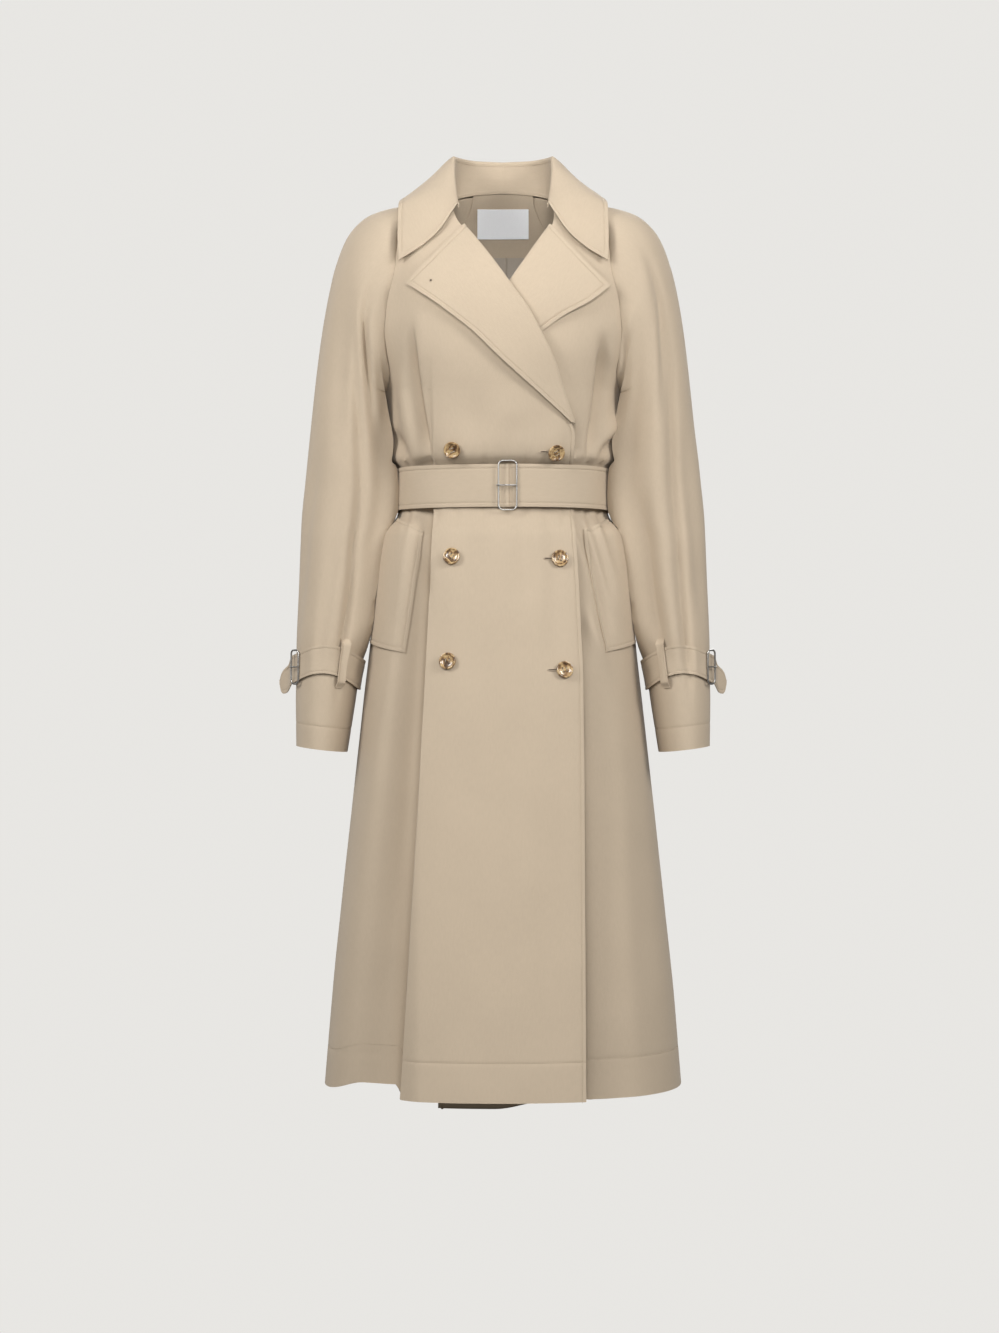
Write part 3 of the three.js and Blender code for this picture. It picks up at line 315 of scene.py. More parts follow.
@dataclass(frozen=True)
class Fold:
    """A trough (or, with a negative depth, a ridge) that runs down the body's cloth."""

    face: Face
    top: tuple[float, float]
    low: tuple[float, float]
    outer: float
    inner: float
    depth: float
    fade: float
    bow: float = 0.0
    spread: float = 1.0
    pressed: bool = False
    rise: float = 0.0

    def line(self, z: Array) -> Array:
        """Place across of the fold's deepest line.

        Args:
            z: Heights.

        Returns:
            Places across.
        """
        (top_x, top_z), (low_x, low_z) = self.top, self.low
        down = np.clip((top_z - z) / (top_z - low_z), 0, 1)
        return mix(top_x, low_x, down) + self.bow * 4 * down * (1 - down)

    def height(self, x: Array, z: Array) -> Array:
        """How deep the fold is at points of the cloth.

        Args:
            x: Places across.
            z: Heights.

        Returns:
            Depths in millimetres, into the coat.
        """
        (top_x, top_z), (low_x, low_z) = self.top, self.low
        down = np.clip((top_z - z) / (top_z - low_z), 0, 1)
        away = (x - self.line(z)) * np.sign(top_x + low_x)
        width = np.where(away > 0, self.outer * mix(self.spread, 1, down), self.inner)
        rise = self.rise or self.fade
        begin = smooth_step(-z, -top_z - rise * 0.4, -top_z + rise * 0.6)
        end = smooth_step(z, low_z - self.fade * 0.1, low_z + self.fade)
        share = np.abs(away) / width
        profile = np.exp(-np.where((away > 0) & self.pressed, share, share ** 2))
        if self.pressed:
            profile = profile * (1 - smooth_step(share, 0.5, 1.22))
        return self.depth * begin * end * profile


FRONT, BACK = Face.FRONT, Face.BACK
# the pressed fold of the upper front's skirt
PRESSED_FOLD = Fold(FRONT, (-91, -411), (-134, -1180), 84, 4.0, 46, 30, 4, 0.26, True, 520)
FOLDS = [
    PRESSED_FOLD,
    Fold(FRONT, (-103, -468), (-94, -535), 10, 7, 5, 40, 2),
    # blousing above the belt
    Fold(FRONT, (-112, -196), (-94, -354), 9, 3.0, 14, 50, 0),
    Fold(FRONT, (-126, -240), (-114, -354), 10, 9, -7, 60, 0),
    Fold(FRONT, (128, -205), (109, -354), 8, 6.5, 17, 55, 4),
    Fold(FRONT, (146, -285), (117, -354), 8, 7, -7, 40, 2),
    Fold(FRONT, (-140, -312), (-124, -352), 9, 8, 9, 26, 0),
    Fold(FRONT, (139, -318), (125, -352), 8, 7, 9, 24, 0),
    Fold(FRONT, (14, -300), (6, -366), 16, 18, 3, 30, 0),
    Fold(FRONT, (-38, -270), (-30, -356), 26, 22, 5, 70, 0),
    Fold(FRONT, (50, -285), (44, -356), 15, 22, 3, 60, 0),
    # gathers below the belt
    Fold(FRONT, (94, -420), (134, -590), 8, 6, 8, 70, 5),
    Fold(FRONT, (109, -418), (140, -540), 6, 5, 6, 60, 3),
    Fold(FRONT, (104, -540), (136, -625), 8, 9, -6, 50, 0),
    Fold(FRONT, (123, -412), (148, -505), 6, 5, 4, 50, 0),
    Fold(FRONT, (22, -420), (34, -560), 14, 14, 4, 70, 0),
    Fold(FRONT, (-40, -420), (-46, -560), 16, 18, 3, 70, 0),
    Fold(FRONT, (60, -420), (66, -620), 18, 14, 4, 120, 0),
    Fold(FRONT, (-8, -640), (-20, -1180), 46, 40, 6, 260, 0),
    Fold(FRONT, (56, -760), (66, -1180), 26, 28, 5, 200, 0),
    # skirt of the lower front beside the upper front's edge
    Fold(FRONT, (132, -640), (146, -1180), 22, 20, 5, 30, 0, 1.0, False, 240),
    Fold(FRONT, (166, -620), (190, -1180), 18, 18, 4, 220, 0),
    # folds of the back
    Fold(BACK, (-58, -412), (-84, -1180), 26, 22, 10, 160, 2),
    Fold(BACK, (52, -412), (76, -1180), 26, 20, 11, 160, -2),
    Fold(BACK, (-112, -412), (-150, -1180), 22, 24, 9, 190, 0),
    Fold(BACK, (116, -412), (156, -1180), 24, 22, 8, 190, 0),
    Fold(BACK, (-4, -430), (2, -1180), 28, 28, 7, 260, 0),
    Fold(BACK, (-30, -412), (-40, -640), 9, 9, 5, 90, 0),
    Fold(BACK, (26, -412), (34, -600), 8, 10, 4, 80, 0),
    Fold(BACK, (-92, -412), (-104, -560), 8, 8, 4, 80, 0),
    Fold(BACK, (88, -412), (98, -590), 9, 8, 5, 80, 0),
    Fold(BACK, (-74, -220), (-62, -352), 13, 15, 8, 60, 3),
    Fold(BACK, (70, -235), (58, -352), 15, 13, 9, 55, -3),
    Fold(BACK, (-4, -260), (0, -352), 14, 14, 6, 45, 0),
    Fold(BACK, (-112, -250), (-98, -352), 9, 9, 5, 45, 0),
    Fold(BACK, (110, -262), (96, -352), 9, 9, 5, 45, 0),
    Fold(BACK, (-34, -290), (-30, -352), 8, 8, 3, 35, 0),
    Fold(BACK, (30, -280), (26, -352), 8, 8, 3.5, 35, 0),
]


@dataclass(frozen=True)
class Pucker:
    """A small gather that starts at the belt and dies away from it."""

    x: float
    width: float
    depth: float
    reach: float

    def height(self, x: Array, z: Array) -> Array:
        """How deep the gather is at points of the cloth.

        Args:
            x: Places across.
            z: Heights.

        Returns:
            Depths in millimetres, into the coat.
        """
        away = np.maximum(np.abs(z - WAIST_Z) - BELT_WIDTH * 0.55, 0)
        drift = x - self.x - np.sign(self.x) * away * 0.12
        return self.depth * hump(drift, self.width) * np.exp(-((away / self.reach) ** 2))


PUCKERS = {
    FRONT: [
        Pucker(-119, 4, 2.6, 30), Pucker(-82, 4, 1.4, 22), Pucker(-58, 5, 1.2, 26), Pucker(-24, 4, 1.1, 20),
        Pucker(28, 4, 1.3, 24), Pucker(52, 5, 1.2, 20), Pucker(74, 4, 1.4, 26), Pucker(108, 3.5, 2.4, 34),
        Pucker(124, 4, 2.4, 26),
    ],
    BACK: [
        Pucker(-122, 5, 2.4, 30), Pucker(-84, 4, 2.0, 38), Pucker(-46, 5, 1.6, 28), Pucker(-18, 4, 1.8, 34),
        Pucker(12, 4, 1.4, 24), Pucker(42, 5, 2.0, 36), Pucker(78, 4, 1.8, 30), Pucker(104, 5, 2.2, 34),
        Pucker(126, 4, 2.4, 26),
    ],
}


class Form:
    """The shape of the worn body cloth, at an angle round it and a height."""

    def section(self, z: Array) -> tuple[Array, Array, Array, Array]:
        """Read the oval at a height.

        Args:
            z: Heights.

        Returns:
            Half width, front depth, back depth and the oval's power.
        """
        half, front, back = (BODY.read(name, z) for name in ("half", "front", "back"))
        return half, front, back, 2 / BODY.read("square", z)

    def angle(self, x: Array, z: Array, face: Face) -> Array:
        """Angle round the body of a place across; 0 is the viewer's right.

        Args:
            x: Places across.
            z: Heights.
            face: The half of the body.

        Returns:
            Degrees, negative on the front.
        """
        half, _, _, power = self.section(z)
        share = np.clip(x / half, -1, 1)
        turned = np.degrees(np.arccos(np.sign(share) * np.abs(share) ** (1 / power)))
        return -turned if face is Face.FRONT else turned

    def plain(self, angle: Array, z: Array) -> Array:
        """Points of the body without folds.

        Args:
            angle: Degrees round the body.
            z: Heights.

        Returns:
            The points.
        """
        half, front, back, power = self.section(z)
        c, s = np.cos(np.radians(angle)), np.sin(np.radians(angle))
        depth = np.where(s < 0, front, back)
        return xyz(half * np.sign(c) * np.abs(c) ** power, depth * np.sign(s) * np.abs(s) ** power, z)

    def outward(self, angle: Array, z: Array) -> Array:
        """Directions out of the coat.

        Args:
            angle: Degrees round the body.
            z: Heights.

        Returns:
            Unit vectors.
        """
        step = 0.5
        a = self.plain(angle + step, z) - self.plain(angle - step, z)
        b = self.plain(angle, z + step) - self.plain(angle, z - step)
        return unit(np.cross(a, b))

    def point(self, angle: Array, z: Array, raised: Array = 0.0) -> Array:
        """Points of the cloth with its folds.

        Args:
            angle: Degrees round the body.
            z: Heights.
            raised: Distance out of the coat.

        Returns:
            The points.
        """
        at = self.plain(angle, z)
        x, y = at[..., 0], at[..., 1]
        depth = np.zeros_like(x)
        for face, here in ((Face.FRONT, y < 0), (Face.BACK, y >= 0)):
            if not np.any(here):
                continue
            for fold in [f for f in FOLDS if f.face is face] + PUCKERS[face]:
                depth = depth + np.where(here, fold.height(x, at[..., 2]), 0)
        calm = smooth_step(np.abs(y), 0, 30)
        out = np.broadcast_to(raised, x.shape) - depth * calm + self.wave(x, at[..., 2]) * calm
        return at + self.outward(angle, z) * out[..., None]

    @staticmethod
    def wave(x: Array, z: Array) -> Array:
        """The slight unevenness of hanging cloth.

        Args:
            x: Places across.
            z: Heights.

        Returns:
            Heights under a millimetre, out of the coat.
        """
        slow = np.sin(x / 37 + z / 71) * np.sin(x / 53 - z / 97 + 1.3)
        quick = np.sin(x / 17 - z / 43 + 0.6) * np.sin(x / 29 + z / 31)
        return 0.55 * slow + 0.25 * quick

    def lift(self, x: Array, z: Array) -> Array:
        """How far the upper front stands over the lower one.

        Args:
            x: Places across.
            z: Heights.

        Returns:
            Distances.
        """
        return OVERLAP_LIFT.read("lift", z) * smooth_step(x, LIFT_START_X, LIFT_END_X)

    def front(self, x: Array, z: Array, raised: Array, lifted: bool) -> Array:
        """Points over the front at places across and heights.

        Args:
            x: Places across.
            z: Heights.
            raised: Distances off the cloth.
            lifted: True over the upper front.

        Returns:
            The points.
        """
        out = raised + (self.lift(x, z) if lifted else 0)
        return self.point(self.angle(x, z, Face.FRONT), z, out)

    def reach(self, y: Array, z: Array) -> Array:
        """Half width of the body at a distance in front of or behind its middle.

        Args:
            y: Distances.
            z: Heights.

        Returns:
            Half widths, 0 past the body.
        """
        half, front, back, power = self.section(z)
        share = np.minimum(np.abs(y) / np.where(y < 0, front, back), 1)
        return half * (1 - share ** (2 / power)) ** (power / 2)


FORM = Form()


# Cloth walls


@dataclass(frozen=True)
class Margins:
    """Where each point of a cloth grid lies, in millimetres from the grid's four edges."""

    left: Array
    right: Array
    top: Array
    low: Array
    points: Array


def ditch(away: Array, inset: float, depth: float = 0.5, width: float = 1.1) -> Array:
    """The groove that a line of stitches pulls into cloth.

    Args:
        away: Distances from the edge.
        inset: Distance of the stitches from the edge.
        depth: Depth of the groove.
        width: Width of the groove.

    Returns:
        Heights, negative in the groove, with a slight swell of the edge beside it.
    """
    swell = 0.25 * np.where(away < inset, 1.0, 0.0) * smooth_step(away, 0, inset * 0.6)
    return swell - depth * hump(away - inset, width)


class Cloth:
    """A closed wall of cloth over a skin, with the lines that its stitches follow."""

    def __init__(self, name: str, skin: Skin, across: Array, along: Array, *, thick: float = CLOTH,
                 toward: Optional[tuple[float, float, float]] = None, centre_x: float = 0.0,
                 insets: tuple[float, float] = (0, 0),
                 relief: Optional[Callable[[Margins], Array]] = None) -> None:
        """Sample the skin and lay its relief on it.

        Args:
            name: Name of the piece.
            skin: The outer face, a function of places across and along.
            across: Places across.
            along: Places along.
            thick: Thickness of the wall.
            toward: A direction that the outer face looks to; None for away from the upright axis.
            centre_x: Place across of that axis.
            insets: Distances from the first and last place across that get finer columns, 0 for none.
            relief: Heights that stitches and puckers add to the face.
        """
        self.name = name
        self.thick = thick
        grid_a, grid_b = np.meshgrid(across, along)
        points = skin(grid_a, grid_b)
        if any(insets):
            grid_a, grid_b = self.finer(points, grid_a, grid_b, insets)
            points = skin(grid_a, grid_b)
        self.points = points
        normals = self.normals()
        if toward is None:
            outwards = self.points * np.array([1, 1, 0]) - np.array([centre_x, 0, 0])
        else:
            outwards = np.broadcast_to(np.array(toward, float), self.points.shape)
        self.sign = 1.0 if np.sum(normals * unit(outwards)) > 0 else -1.0
        if relief is not None:
            height = relief(self.margins())
            self.points = self.points + normals * self.sign * height[..., None]
        self.outward = self.normals() * self.sign
        self.edges = self.margins()

    @staticmethod
    def finer(points: Array, grid_a: Array, grid_b: Array,
              insets: tuple[float, float]) -> tuple[Array, Array]:
        """Add columns round the stitch lines.

        Args:
            points: The coarse grid of points.
            grid_a: Places across of the coarse grid.
            grid_b: Places along of the coarse grid.
            insets: Distances of the stitch lines from the first and the last column.

        Returns:
            The finer grids of places across and along.
        """
        steps = np.array([-2.4, -1.4, -0.7, 0, 0.7, 1.4, 2.4])
        rows = []
        for row, places in zip(points, grid_a):
            way = np.concatenate([[0], np.cumsum(np.linalg.norm(np.diff(row, axis=0), axis=1))])
            wanted = [way]
            if insets[0]:
                wanted.append(np.clip(insets[0] + steps, 0.3, way[-1] - 0.3))
            if insets[1]:
                wanted.append(np.clip(way[-1] - insets[1] + steps, 0.3, way[-1] - 0.3))
            rows.append(np.interp(np.sort(np.concatenate(wanted)), way, places))
        fine = np.array(rows)
        return fine, np.repeat(grid_b[:, :1], fine.shape[1], axis=1)

    def normals(self) -> Array:
        """Unit vectors across the grid's two directions.

        Returns:
            The unit directions.
        """
        across = np.gradient(self.points, axis=1)
        along = np.gradient(self.points, axis=0)
        return unit(np.cross(across, along))

    def margins(self) -> Margins:
        """Distances of every point from the four edges.

        Returns:
            The distances.
        """
        def ways(axis: int) -> Array:
            """Distances of each point from the start of its row.

            Args:
                axis: The grid axis to measure along.

            Returns:
                The distances.
            """
            step = np.linalg.norm(np.diff(self.points, axis=axis), axis=-1)
            pad = [(0, 0), (0, 0)]
            pad[axis] = (1, 0)
            return np.cumsum(np.pad(step, pad), axis=axis)

        left, top = ways(1), ways(0)
        return Margins(left, left[:, -1:] - left, top, top[-1:] - top, self.points)

    def area(self) -> float:
        """Area of the outer face, in square metres.

        Returns:
            The area.
        """
        a = self.points[1:, 1:] - self.points[:-1, :-1]
        b = self.points[1:, :-1] - self.points[:-1, 1:]
        return float(np.linalg.norm(np.cross(a, b), axis=-1).sum() / 2 * MM * MM)

    def line(self, edge: str, inset: float, start: float = 0.0, end: float = 1.0,
             over: float = 0.12) -> Array:
        """A line on the face, at a fixed distance from one edge.

        Args:
            edge: left, right, top or low.
            inset: Distance from that edge.
            start: Share of the edge where the line starts.
            end: Share of the edge where it ends.
            over: Height above the face.

        Returns:
            Points of the line.
        """
        upright = edge in ("left", "right")
        face = self.points + self.outward * over
        away = getattr(self.edges, edge)
        if not upright:
            face, away = face.transpose(1, 0, 2), away.T
        count = len(face)
        rows = range(int(round(start * (count - 1))), int(round(end * (count - 1))) + 1)
        line = []
        for row in rows:
            order = slice(None) if away[row, -1] > away[row, 0] else slice(None, None, -1)
            line.append([np.interp(inset, away[row][order], face[row][order][:, k]) for k in range(3)])
        return np.array(line)

    def build(self, material: bpy.types.Material) -> bpy.types.Object:
        """Write the wall as a mesh.

        Args:
            material: Its finish.

        Returns:
            The new object.
        """
        rows, columns = self.points.shape[:2]
        inner = self.points - self.outward * self.thick
        index = np.arange(rows * columns).reshape(rows, columns)
        under = index + rows * columns
        order = 1 if self.sign > 0 else -1

        def quads(a: Array, b: Array, c: Array, d: Array, flip: int) -> Array:
            """Faces between a grid's neighbouring points."""
            faces = np.stack([a, b, c, d], axis=-1).reshape(-1, 4)
            return faces if flip > 0 else faces[:, ::-1]

        faces = [
            quads(index[:-1, :-1], index[:-1, 1:], index[1:, 1:], index[1:, :-1], order),
            quads(under[:-1, :-1], under[:-1, 1:], under[1:, 1:], under[1:, :-1], -order),
            quads(index[0, 1:], index[0, :-1], under[0, :-1], under[0, 1:], order),
            quads(index[-1, :-1], index[-1, 1:], under[-1, 1:], under[-1, :-1], order),
            quads(index[:-1, 0], index[1:, 0], under[1:, 0], under[:-1, 0], order),
            quads(index[1:, -1], index[:-1, -1], under[:-1, -1], under[1:, -1], order),
        ]
        middle = columns // 2
        u = (self.edges.left - self.edges.left[:, middle:middle + 1]) * MM
        v = -np.broadcast_to(self.edges.top[:, middle:middle + 1], u.shape) * MM
        flat = np.stack([u, v], axis=-1).reshape(-1, 2)
        points = np.concatenate([self.points.reshape(-1, 3), inner.reshape(-1, 3)]) * MM
        return write_mesh(self.name, points, np.concatenate(faces), material, np.concatenate([flat, flat]))


def write_mesh(name: str, points: Array, faces: Array, material: bpy.types.Material,
               uv: Optional[Array] = None, sharp: float = 48.0) -> bpy.types.Object:
    """Write points and faces as an object at the origin.

    Args:
        name: Name of the object.
        points: Points in metres.
        faces: Indices of each face's points.
        material: Its finish.
        uv: Places on the flat cloth of each point, in metres.
        sharp: Angle in degrees past which an edge stays sharp.

    Returns:
        The new object.
    """
    mesh = bpy.data.meshes.new(name)
    mesh.from_pydata(points.tolist(), [], [list(map(int, face)) for face in faces])
    mesh.materials.append(material)
    mesh.polygons.foreach_set("use_smooth", [True] * len(mesh.polygons))
    if uv is not None:
        corners = np.empty(len(mesh.loops), np.int32)
        mesh.loops.foreach_get("vertex_index", corners)
        mesh.uv_layers.new(name=CLOTH_UV).data.foreach_set("uv", uv[corners].astype(np.float32).ravel())
    mesh.set_sharp_from_angle(angle=math.radians(sharp))
    mesh.update()
    made = bpy.data.objects.new(name, mesh)
    bpy.context.collection.objects.link(made)
    return made


def ride(piece: bpy.types.Object, slot: str, *nodes: str) -> bpy.types.Object:
    """Give a piece its body and hide the nodes that it stands for.

    Args:
        piece: The piece.
        slot: Not used.
        nodes: Names of the solids that it replaces.

    Returns:
        The piece.
    """
    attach(piece, BODY_NAME)
    if nodes:
        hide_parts(*nodes)
    log.info("%s: %d faces", piece.name, len(piece.data.polygons))
    return piece


def tube(name: str, path: Array, radius: float, material: bpy.types.Material, sides: int = 12,
         closed: bool = False) -> bpy.types.Object:
    """A round wire along a path.

    Args:
        name: Name of the object.
        path: Points of its middle line, in millimetres.
        radius: Radius of the wire, in millimetres.
        material: Its finish.
        sides: Sides of its section.
        closed: True where the path joins up.

    Returns:
        The new object.
    """
    count = len(path)
    before, after = np.roll(path, 1, axis=0), np.roll(path, -1, axis=0)
    if not closed:
        before[0], after[-1] = path[0], path[-1]
    ahead = unit(after - before)
    helper = np.array([0, -1, 0.0]) if abs(ahead[:, 1]).max() < 0.9 else np.array([0, 0, 1.0])
    side = unit(np.cross(ahead, helper))
    up = np.cross(side, ahead)
    turns = np.linspace(0, 2 * math.pi, sides, endpoint=False)
    ring = np.cos(turns)[None, :, None] * side[:, None] + np.sin(turns)[None, :, None] * up[:, None]
    points = (path[:, None] + ring * radius).reshape(-1, 3)
    faces = []
    for i in range(count if closed else count - 1):
        for k in range(sides):
            a, b = i * sides + k, i * sides + (k + 1) % sides
            c, d = ((i + 1) % count) * sides + (k + 1) % sides, ((i + 1) % count) * sides + k
            faces.append([a, b, c, d])
    if not closed:
        faces.append(list(range(sides))[::-1])
        faces.append([(count - 1) * sides + k for k in range(sides)])
    made = write_mesh(name, points * MM, faces, material)
    outwards(made)
    return made


def outwards(piece: bpy.types.Object) -> None:
    """Turn all the faces of a closed piece outwards.

    Args:
        piece: The piece.
    """
    work = bmesh.new()
    work.from_mesh(piece.data)
    bmesh.ops.recalc_face_normals(work, faces=work.faces)
    work.to_mesh(piece.data)
    work.free()


# Finishes


class Shading:
    """Helpers that add and join shader nodes."""

    def __init__(self, name: str) -> None:
        """Start a material with a plain surface shader.

        Args:
            name: Name of the material.
        """
        self.material = bpy.data.materials.new(name)
        self.material.use_nodes = True
        self.tree = self.material.node_tree
        self.surface = self.tree.nodes["Principled BSDF"]

    def add(self, kind: str, **values: object) -> bpy.types.Node:
        """Add a node.

        Args:
            kind: The node's type.
            values: Its properties, or its inputs where no property has the name.

        Returns:
            The node.
        """
        node = self.tree.nodes.new(kind)
        for name, value in values.items():
            if hasattr(node, name):
                setattr(node, name, value)
            else:
                node.inputs[name.replace("_", " ")].default_value = value
        return node

    def join(self, start: bpy.types.NodeSocket, end: bpy.types.NodeSocket) -> None:
        """Link two sockets.

        Args:
            start: The output.
            end: The input.
        """
        self.tree.links.new(start, end)

    def ramp(self, factor: bpy.types.NodeSocket,
             stops: Sequence[tuple[float, tuple]]) -> bpy.types.NodeSocket:
        """Colour a factor by named stops.

        Args:
            factor: The factor.
            stops: Each stop's place and colour.

        Returns:
            The colour.
        """
        node = self.add("ShaderNodeValToRGB")
        entries = node.color_ramp.elements
        while len(entries) < len(stops):
            entries.new(0.5)
        for entry, (place, colour) in zip(entries, stops):
            entry.position = place
            entry.color = (*colour, 1)
        self.join(factor, node.inputs["Fac"])
        return node.outputs["Color"]

    def multiply(self, a: bpy.types.NodeSocket, b: bpy.types.NodeSocket) -> bpy.types.NodeSocket:
        """Multiply two colours.

        Args:
            a: The first colour.
            b: The second colour.

        Returns:
            Their product.
        """
        node = self.add("ShaderNodeMix", data_type="RGBA", blend_type="MULTIPLY")
        node.inputs["Factor"].default_value = 1
        self.join(a, node.inputs[6])
        self.join(b, node.inputs[7])
        return node.outputs[2]


def shade(colour: tuple[float, float, float], share: float) -> tuple[float, float, float]:
    """Scale a colour's brightness.

    Args:
        colour: Linear red, green and blue.
        share: 1 for no change.

    Returns:
        The scaled colour.
    """
    return tuple(min(1.0, c * share) for c in colour)


@dataclass(frozen=True)
class Woven:
    """A woven cloth: its colour, the slant and spacing of its ribs, and its nap."""

    name: str
    colour: tuple[float, float, float]
    rib: float = 0.00055
    slant: float = 63.0
    contrast: float = 0.06
    mottle: float = 0.035
    bump: float = 0.3
    roughness: float = 0.82
    sheen: float = 0.16
    specular: float = 0.25

    def material(self) -> bpy.types.Material:
        """Build the cloth's material.

        Returns:
            The material.
        """
        sheet = Shading(self.name)
        surface = sheet.surface
        place = sheet.add("ShaderNodeUVMap", uv_map=CLOTH_UV)
        turn = sheet.add("ShaderNodeMapping")
        turn.inputs["Rotation"].default_value = (0, 0, math.radians(90 - self.slant))
        sheet.join(place.outputs["UV"], turn.inputs["Vector"])
        rib = sheet.add("ShaderNodeTexWave", wave_type="BANDS", bands_direction="X",
                        Scale=math.pi / 10 / self.rib, Distortion=0.6, Detail=1.0, Detail_Scale=1.0)
        sheet.join(turn.outputs["Vector"], rib.inputs["Vector"])
        solid = sheet.add("ShaderNodeTexCoord")
        cloud = sheet.add("ShaderNodeTexNoise", Scale=14.0, Detail=3.0, Roughness=0.55)
        sheet.join(solid.outputs["Object"], cloud.inputs["Vector"])
        slub = sheet.add("ShaderNodeTexNoise", Scale=420.0, Detail=2.0, Roughness=0.6)
        stretch = sheet.add("ShaderNodeMapping")
        stretch.inputs["Scale"].default_value = (1, 0.25, 1)
        sheet.join(place.outputs["UV"], stretch.inputs["Vector"])
        sheet.join(stretch.outputs["Vector"], slub.inputs["Vector"])
        dark = shade(self.colour, 1 - self.contrast)
        light = shade(self.colour, 1 + self.contrast * 0.5)
        ribbed = sheet.ramp(rib.outputs["Fac"], [(0.1, dark), (0.7, light)])
        clouded = sheet.ramp(cloud.outputs["Fac"], [
            (0.3, (1 - self.mottle,) * 3), (0.7, (1.0, 1.0, 1.0))])
        threads = sheet.ramp(slub.outputs["Fac"], [
            (0.25, (1 - self.contrast * 0.8,) * 3), (0.75, (1.0, 1.0, 1.0))])
        dyed = sheet.multiply(sheet.multiply(ribbed, clouded), threads)
        sheet.join(dyed, surface.inputs["Base Color"])
        raised = sheet.add("ShaderNodeMath", operation="ADD")
        sheet.join(rib.outputs["Fac"], raised.inputs[0])
        sheet.join(slub.outputs["Fac"], raised.inputs[1])
        bump = sheet.add("ShaderNodeBump", Strength=self.bump, Distance=0.00012)
        sheet.join(raised.outputs["Value"], bump.inputs["Height"])
        sheet.join(bump.outputs["Normal"], surface.inputs["Normal"])
        surface.inputs["Roughness"].default_value = self.roughness
        surface.inputs["Specular IOR Level"].default_value = self.specular
        surface.inputs["Sheen Weight"].default_value = self.sheen
        surface.inputs["Sheen Roughness"].default_value = 0.4
        surface.inputs["Sheen Tint"].default_value = (1, 0.97, 0.93, 1)
        return sheet.material


@dataclass(frozen=True)
class Steel:
    """Satin plated steel with faint wear."""

    name: str = "steel"
    colour: tuple[float, float, float] = (0.4, 0.39, 0.375)
    roughness: float = 0.3

    def material(self) -> bpy.types.Material:
        """Build the metal's material.

        Returns:
            The material.
        """
        sheet = Shading(self.name)
        surface = sheet.surface
        solid = sheet.add("ShaderNodeTexCoord")
        wear = sheet.add("ShaderNodeTexNoise", Scale=900.0, Detail=3.0)
        sheet.join(solid.outputs["Object"], wear.inputs["Vector"])
        spread = sheet.add("ShaderNodeMapRange")
        spread.inputs["To Min"].default_value = self.roughness - 0.08
        spread.inputs["To Max"].default_value = self.roughness + 0.1
        sheet.join(wear.outputs["Fac"], spread.inputs["Value"])
        sheet.join(spread.outputs["Result"], surface.inputs["Roughness"])
        surface.inputs["Base Color"].default_value = (*self.colour, 1)
        surface.inputs["Metallic"].default_value = 1
        return sheet.material


@dataclass(frozen=True)
class Horn:
    """Polished horn, mottled from dark brown to gold."""

    name: str = "horn"
    dark: tuple[float, float, float] = (0.075, 0.038, 0.016)
    brown: tuple[float, float, float] = (0.27, 0.155, 0.065)
    gold: tuple[float, float, float] = (0.56, 0.4, 0.2)

    def material(self) -> bpy.types.Material:
        """Build the horn's material.

        Returns:
            The material.
        """
        sheet = Shading(self.name)
        surface = sheet.surface
        solid = sheet.add("ShaderNodeTexCoord")
        cloud = sheet.add("ShaderNodeTexNoise", Scale=62.0, Detail=3.0, Roughness=0.6, Distortion=1.4)
        sheet.join(solid.outputs["Object"], cloud.inputs["Vector"])
        colour = sheet.ramp(cloud.outputs["Fac"], [
            (0.36, self.dark), (0.46, self.brown), (0.54, self.gold), (0.6, self.brown), (0.66, self.dark)])
        sheet.join(colour, surface.inputs["Base Color"])
        surface.inputs["Roughness"].default_value = 0.28
        surface.inputs["Coat Weight"].default_value = 0.5
        surface.inputs["Coat Roughness"].default_value = 0.12
        return sheet.material


@dataclass(frozen=True)
class Plain:
    """One even colour, as of sewing thread, or the painted shade inside a slit."""

    name: str
    colour: tuple[float, float, float]
    roughness: float = 0.8

    def material(self) -> bpy.types.Material:
        """Build the material.

        Returns:
            The material.
        """
        sheet = Shading(self.name)
        sheet.surface.inputs["Base Color"].default_value = (*self.colour, 1)
        sheet.surface.inputs["Roughness"].default_value = self.roughness
        return sheet.material


SAND = (0.49, 0.398, 0.294)


@dataclass
class Finishes:
    """All the materials of the coat."""

    gabardine: bpy.types.Material = field(default_factory=lambda: Woven("gabardine", SAND).material())
    lining: bpy.types.Material = field(default_factory=lambda: Woven(
        "lining", (0.4, 0.345, 0.28), rib=0.0003, contrast=0.03, roughness=0.42, sheen=0.05,
        specular=0.5, bump=0.1).material())
    label: bpy.types.Material = field(default_factory=lambda: Woven(
        "label", (0.93, 0.94, 0.955), rib=0.0004, slant=90, contrast=0.03, mottle=0.01, roughness=0.55,
        sheen=0.0, bump=0.15).material())
    steel: bpy.types.Material = field(default_factory=lambda: Steel().material())
    horn: bpy.types.Material = field(default_factory=lambda: Horn().material())
    thread: bpy.types.Material = field(default_factory=lambda: Plain("thread", shade(SAND, 0.86)).material())
    # a near-black brown laid into the buttonhole slits and the eyelet's hole: painted shade of the cuts
    slit_shade: bpy.types.Material = field(default_factory=lambda: Plain("slit_shade", (0.09, 0.065, 0.045)).material())


# Stitches


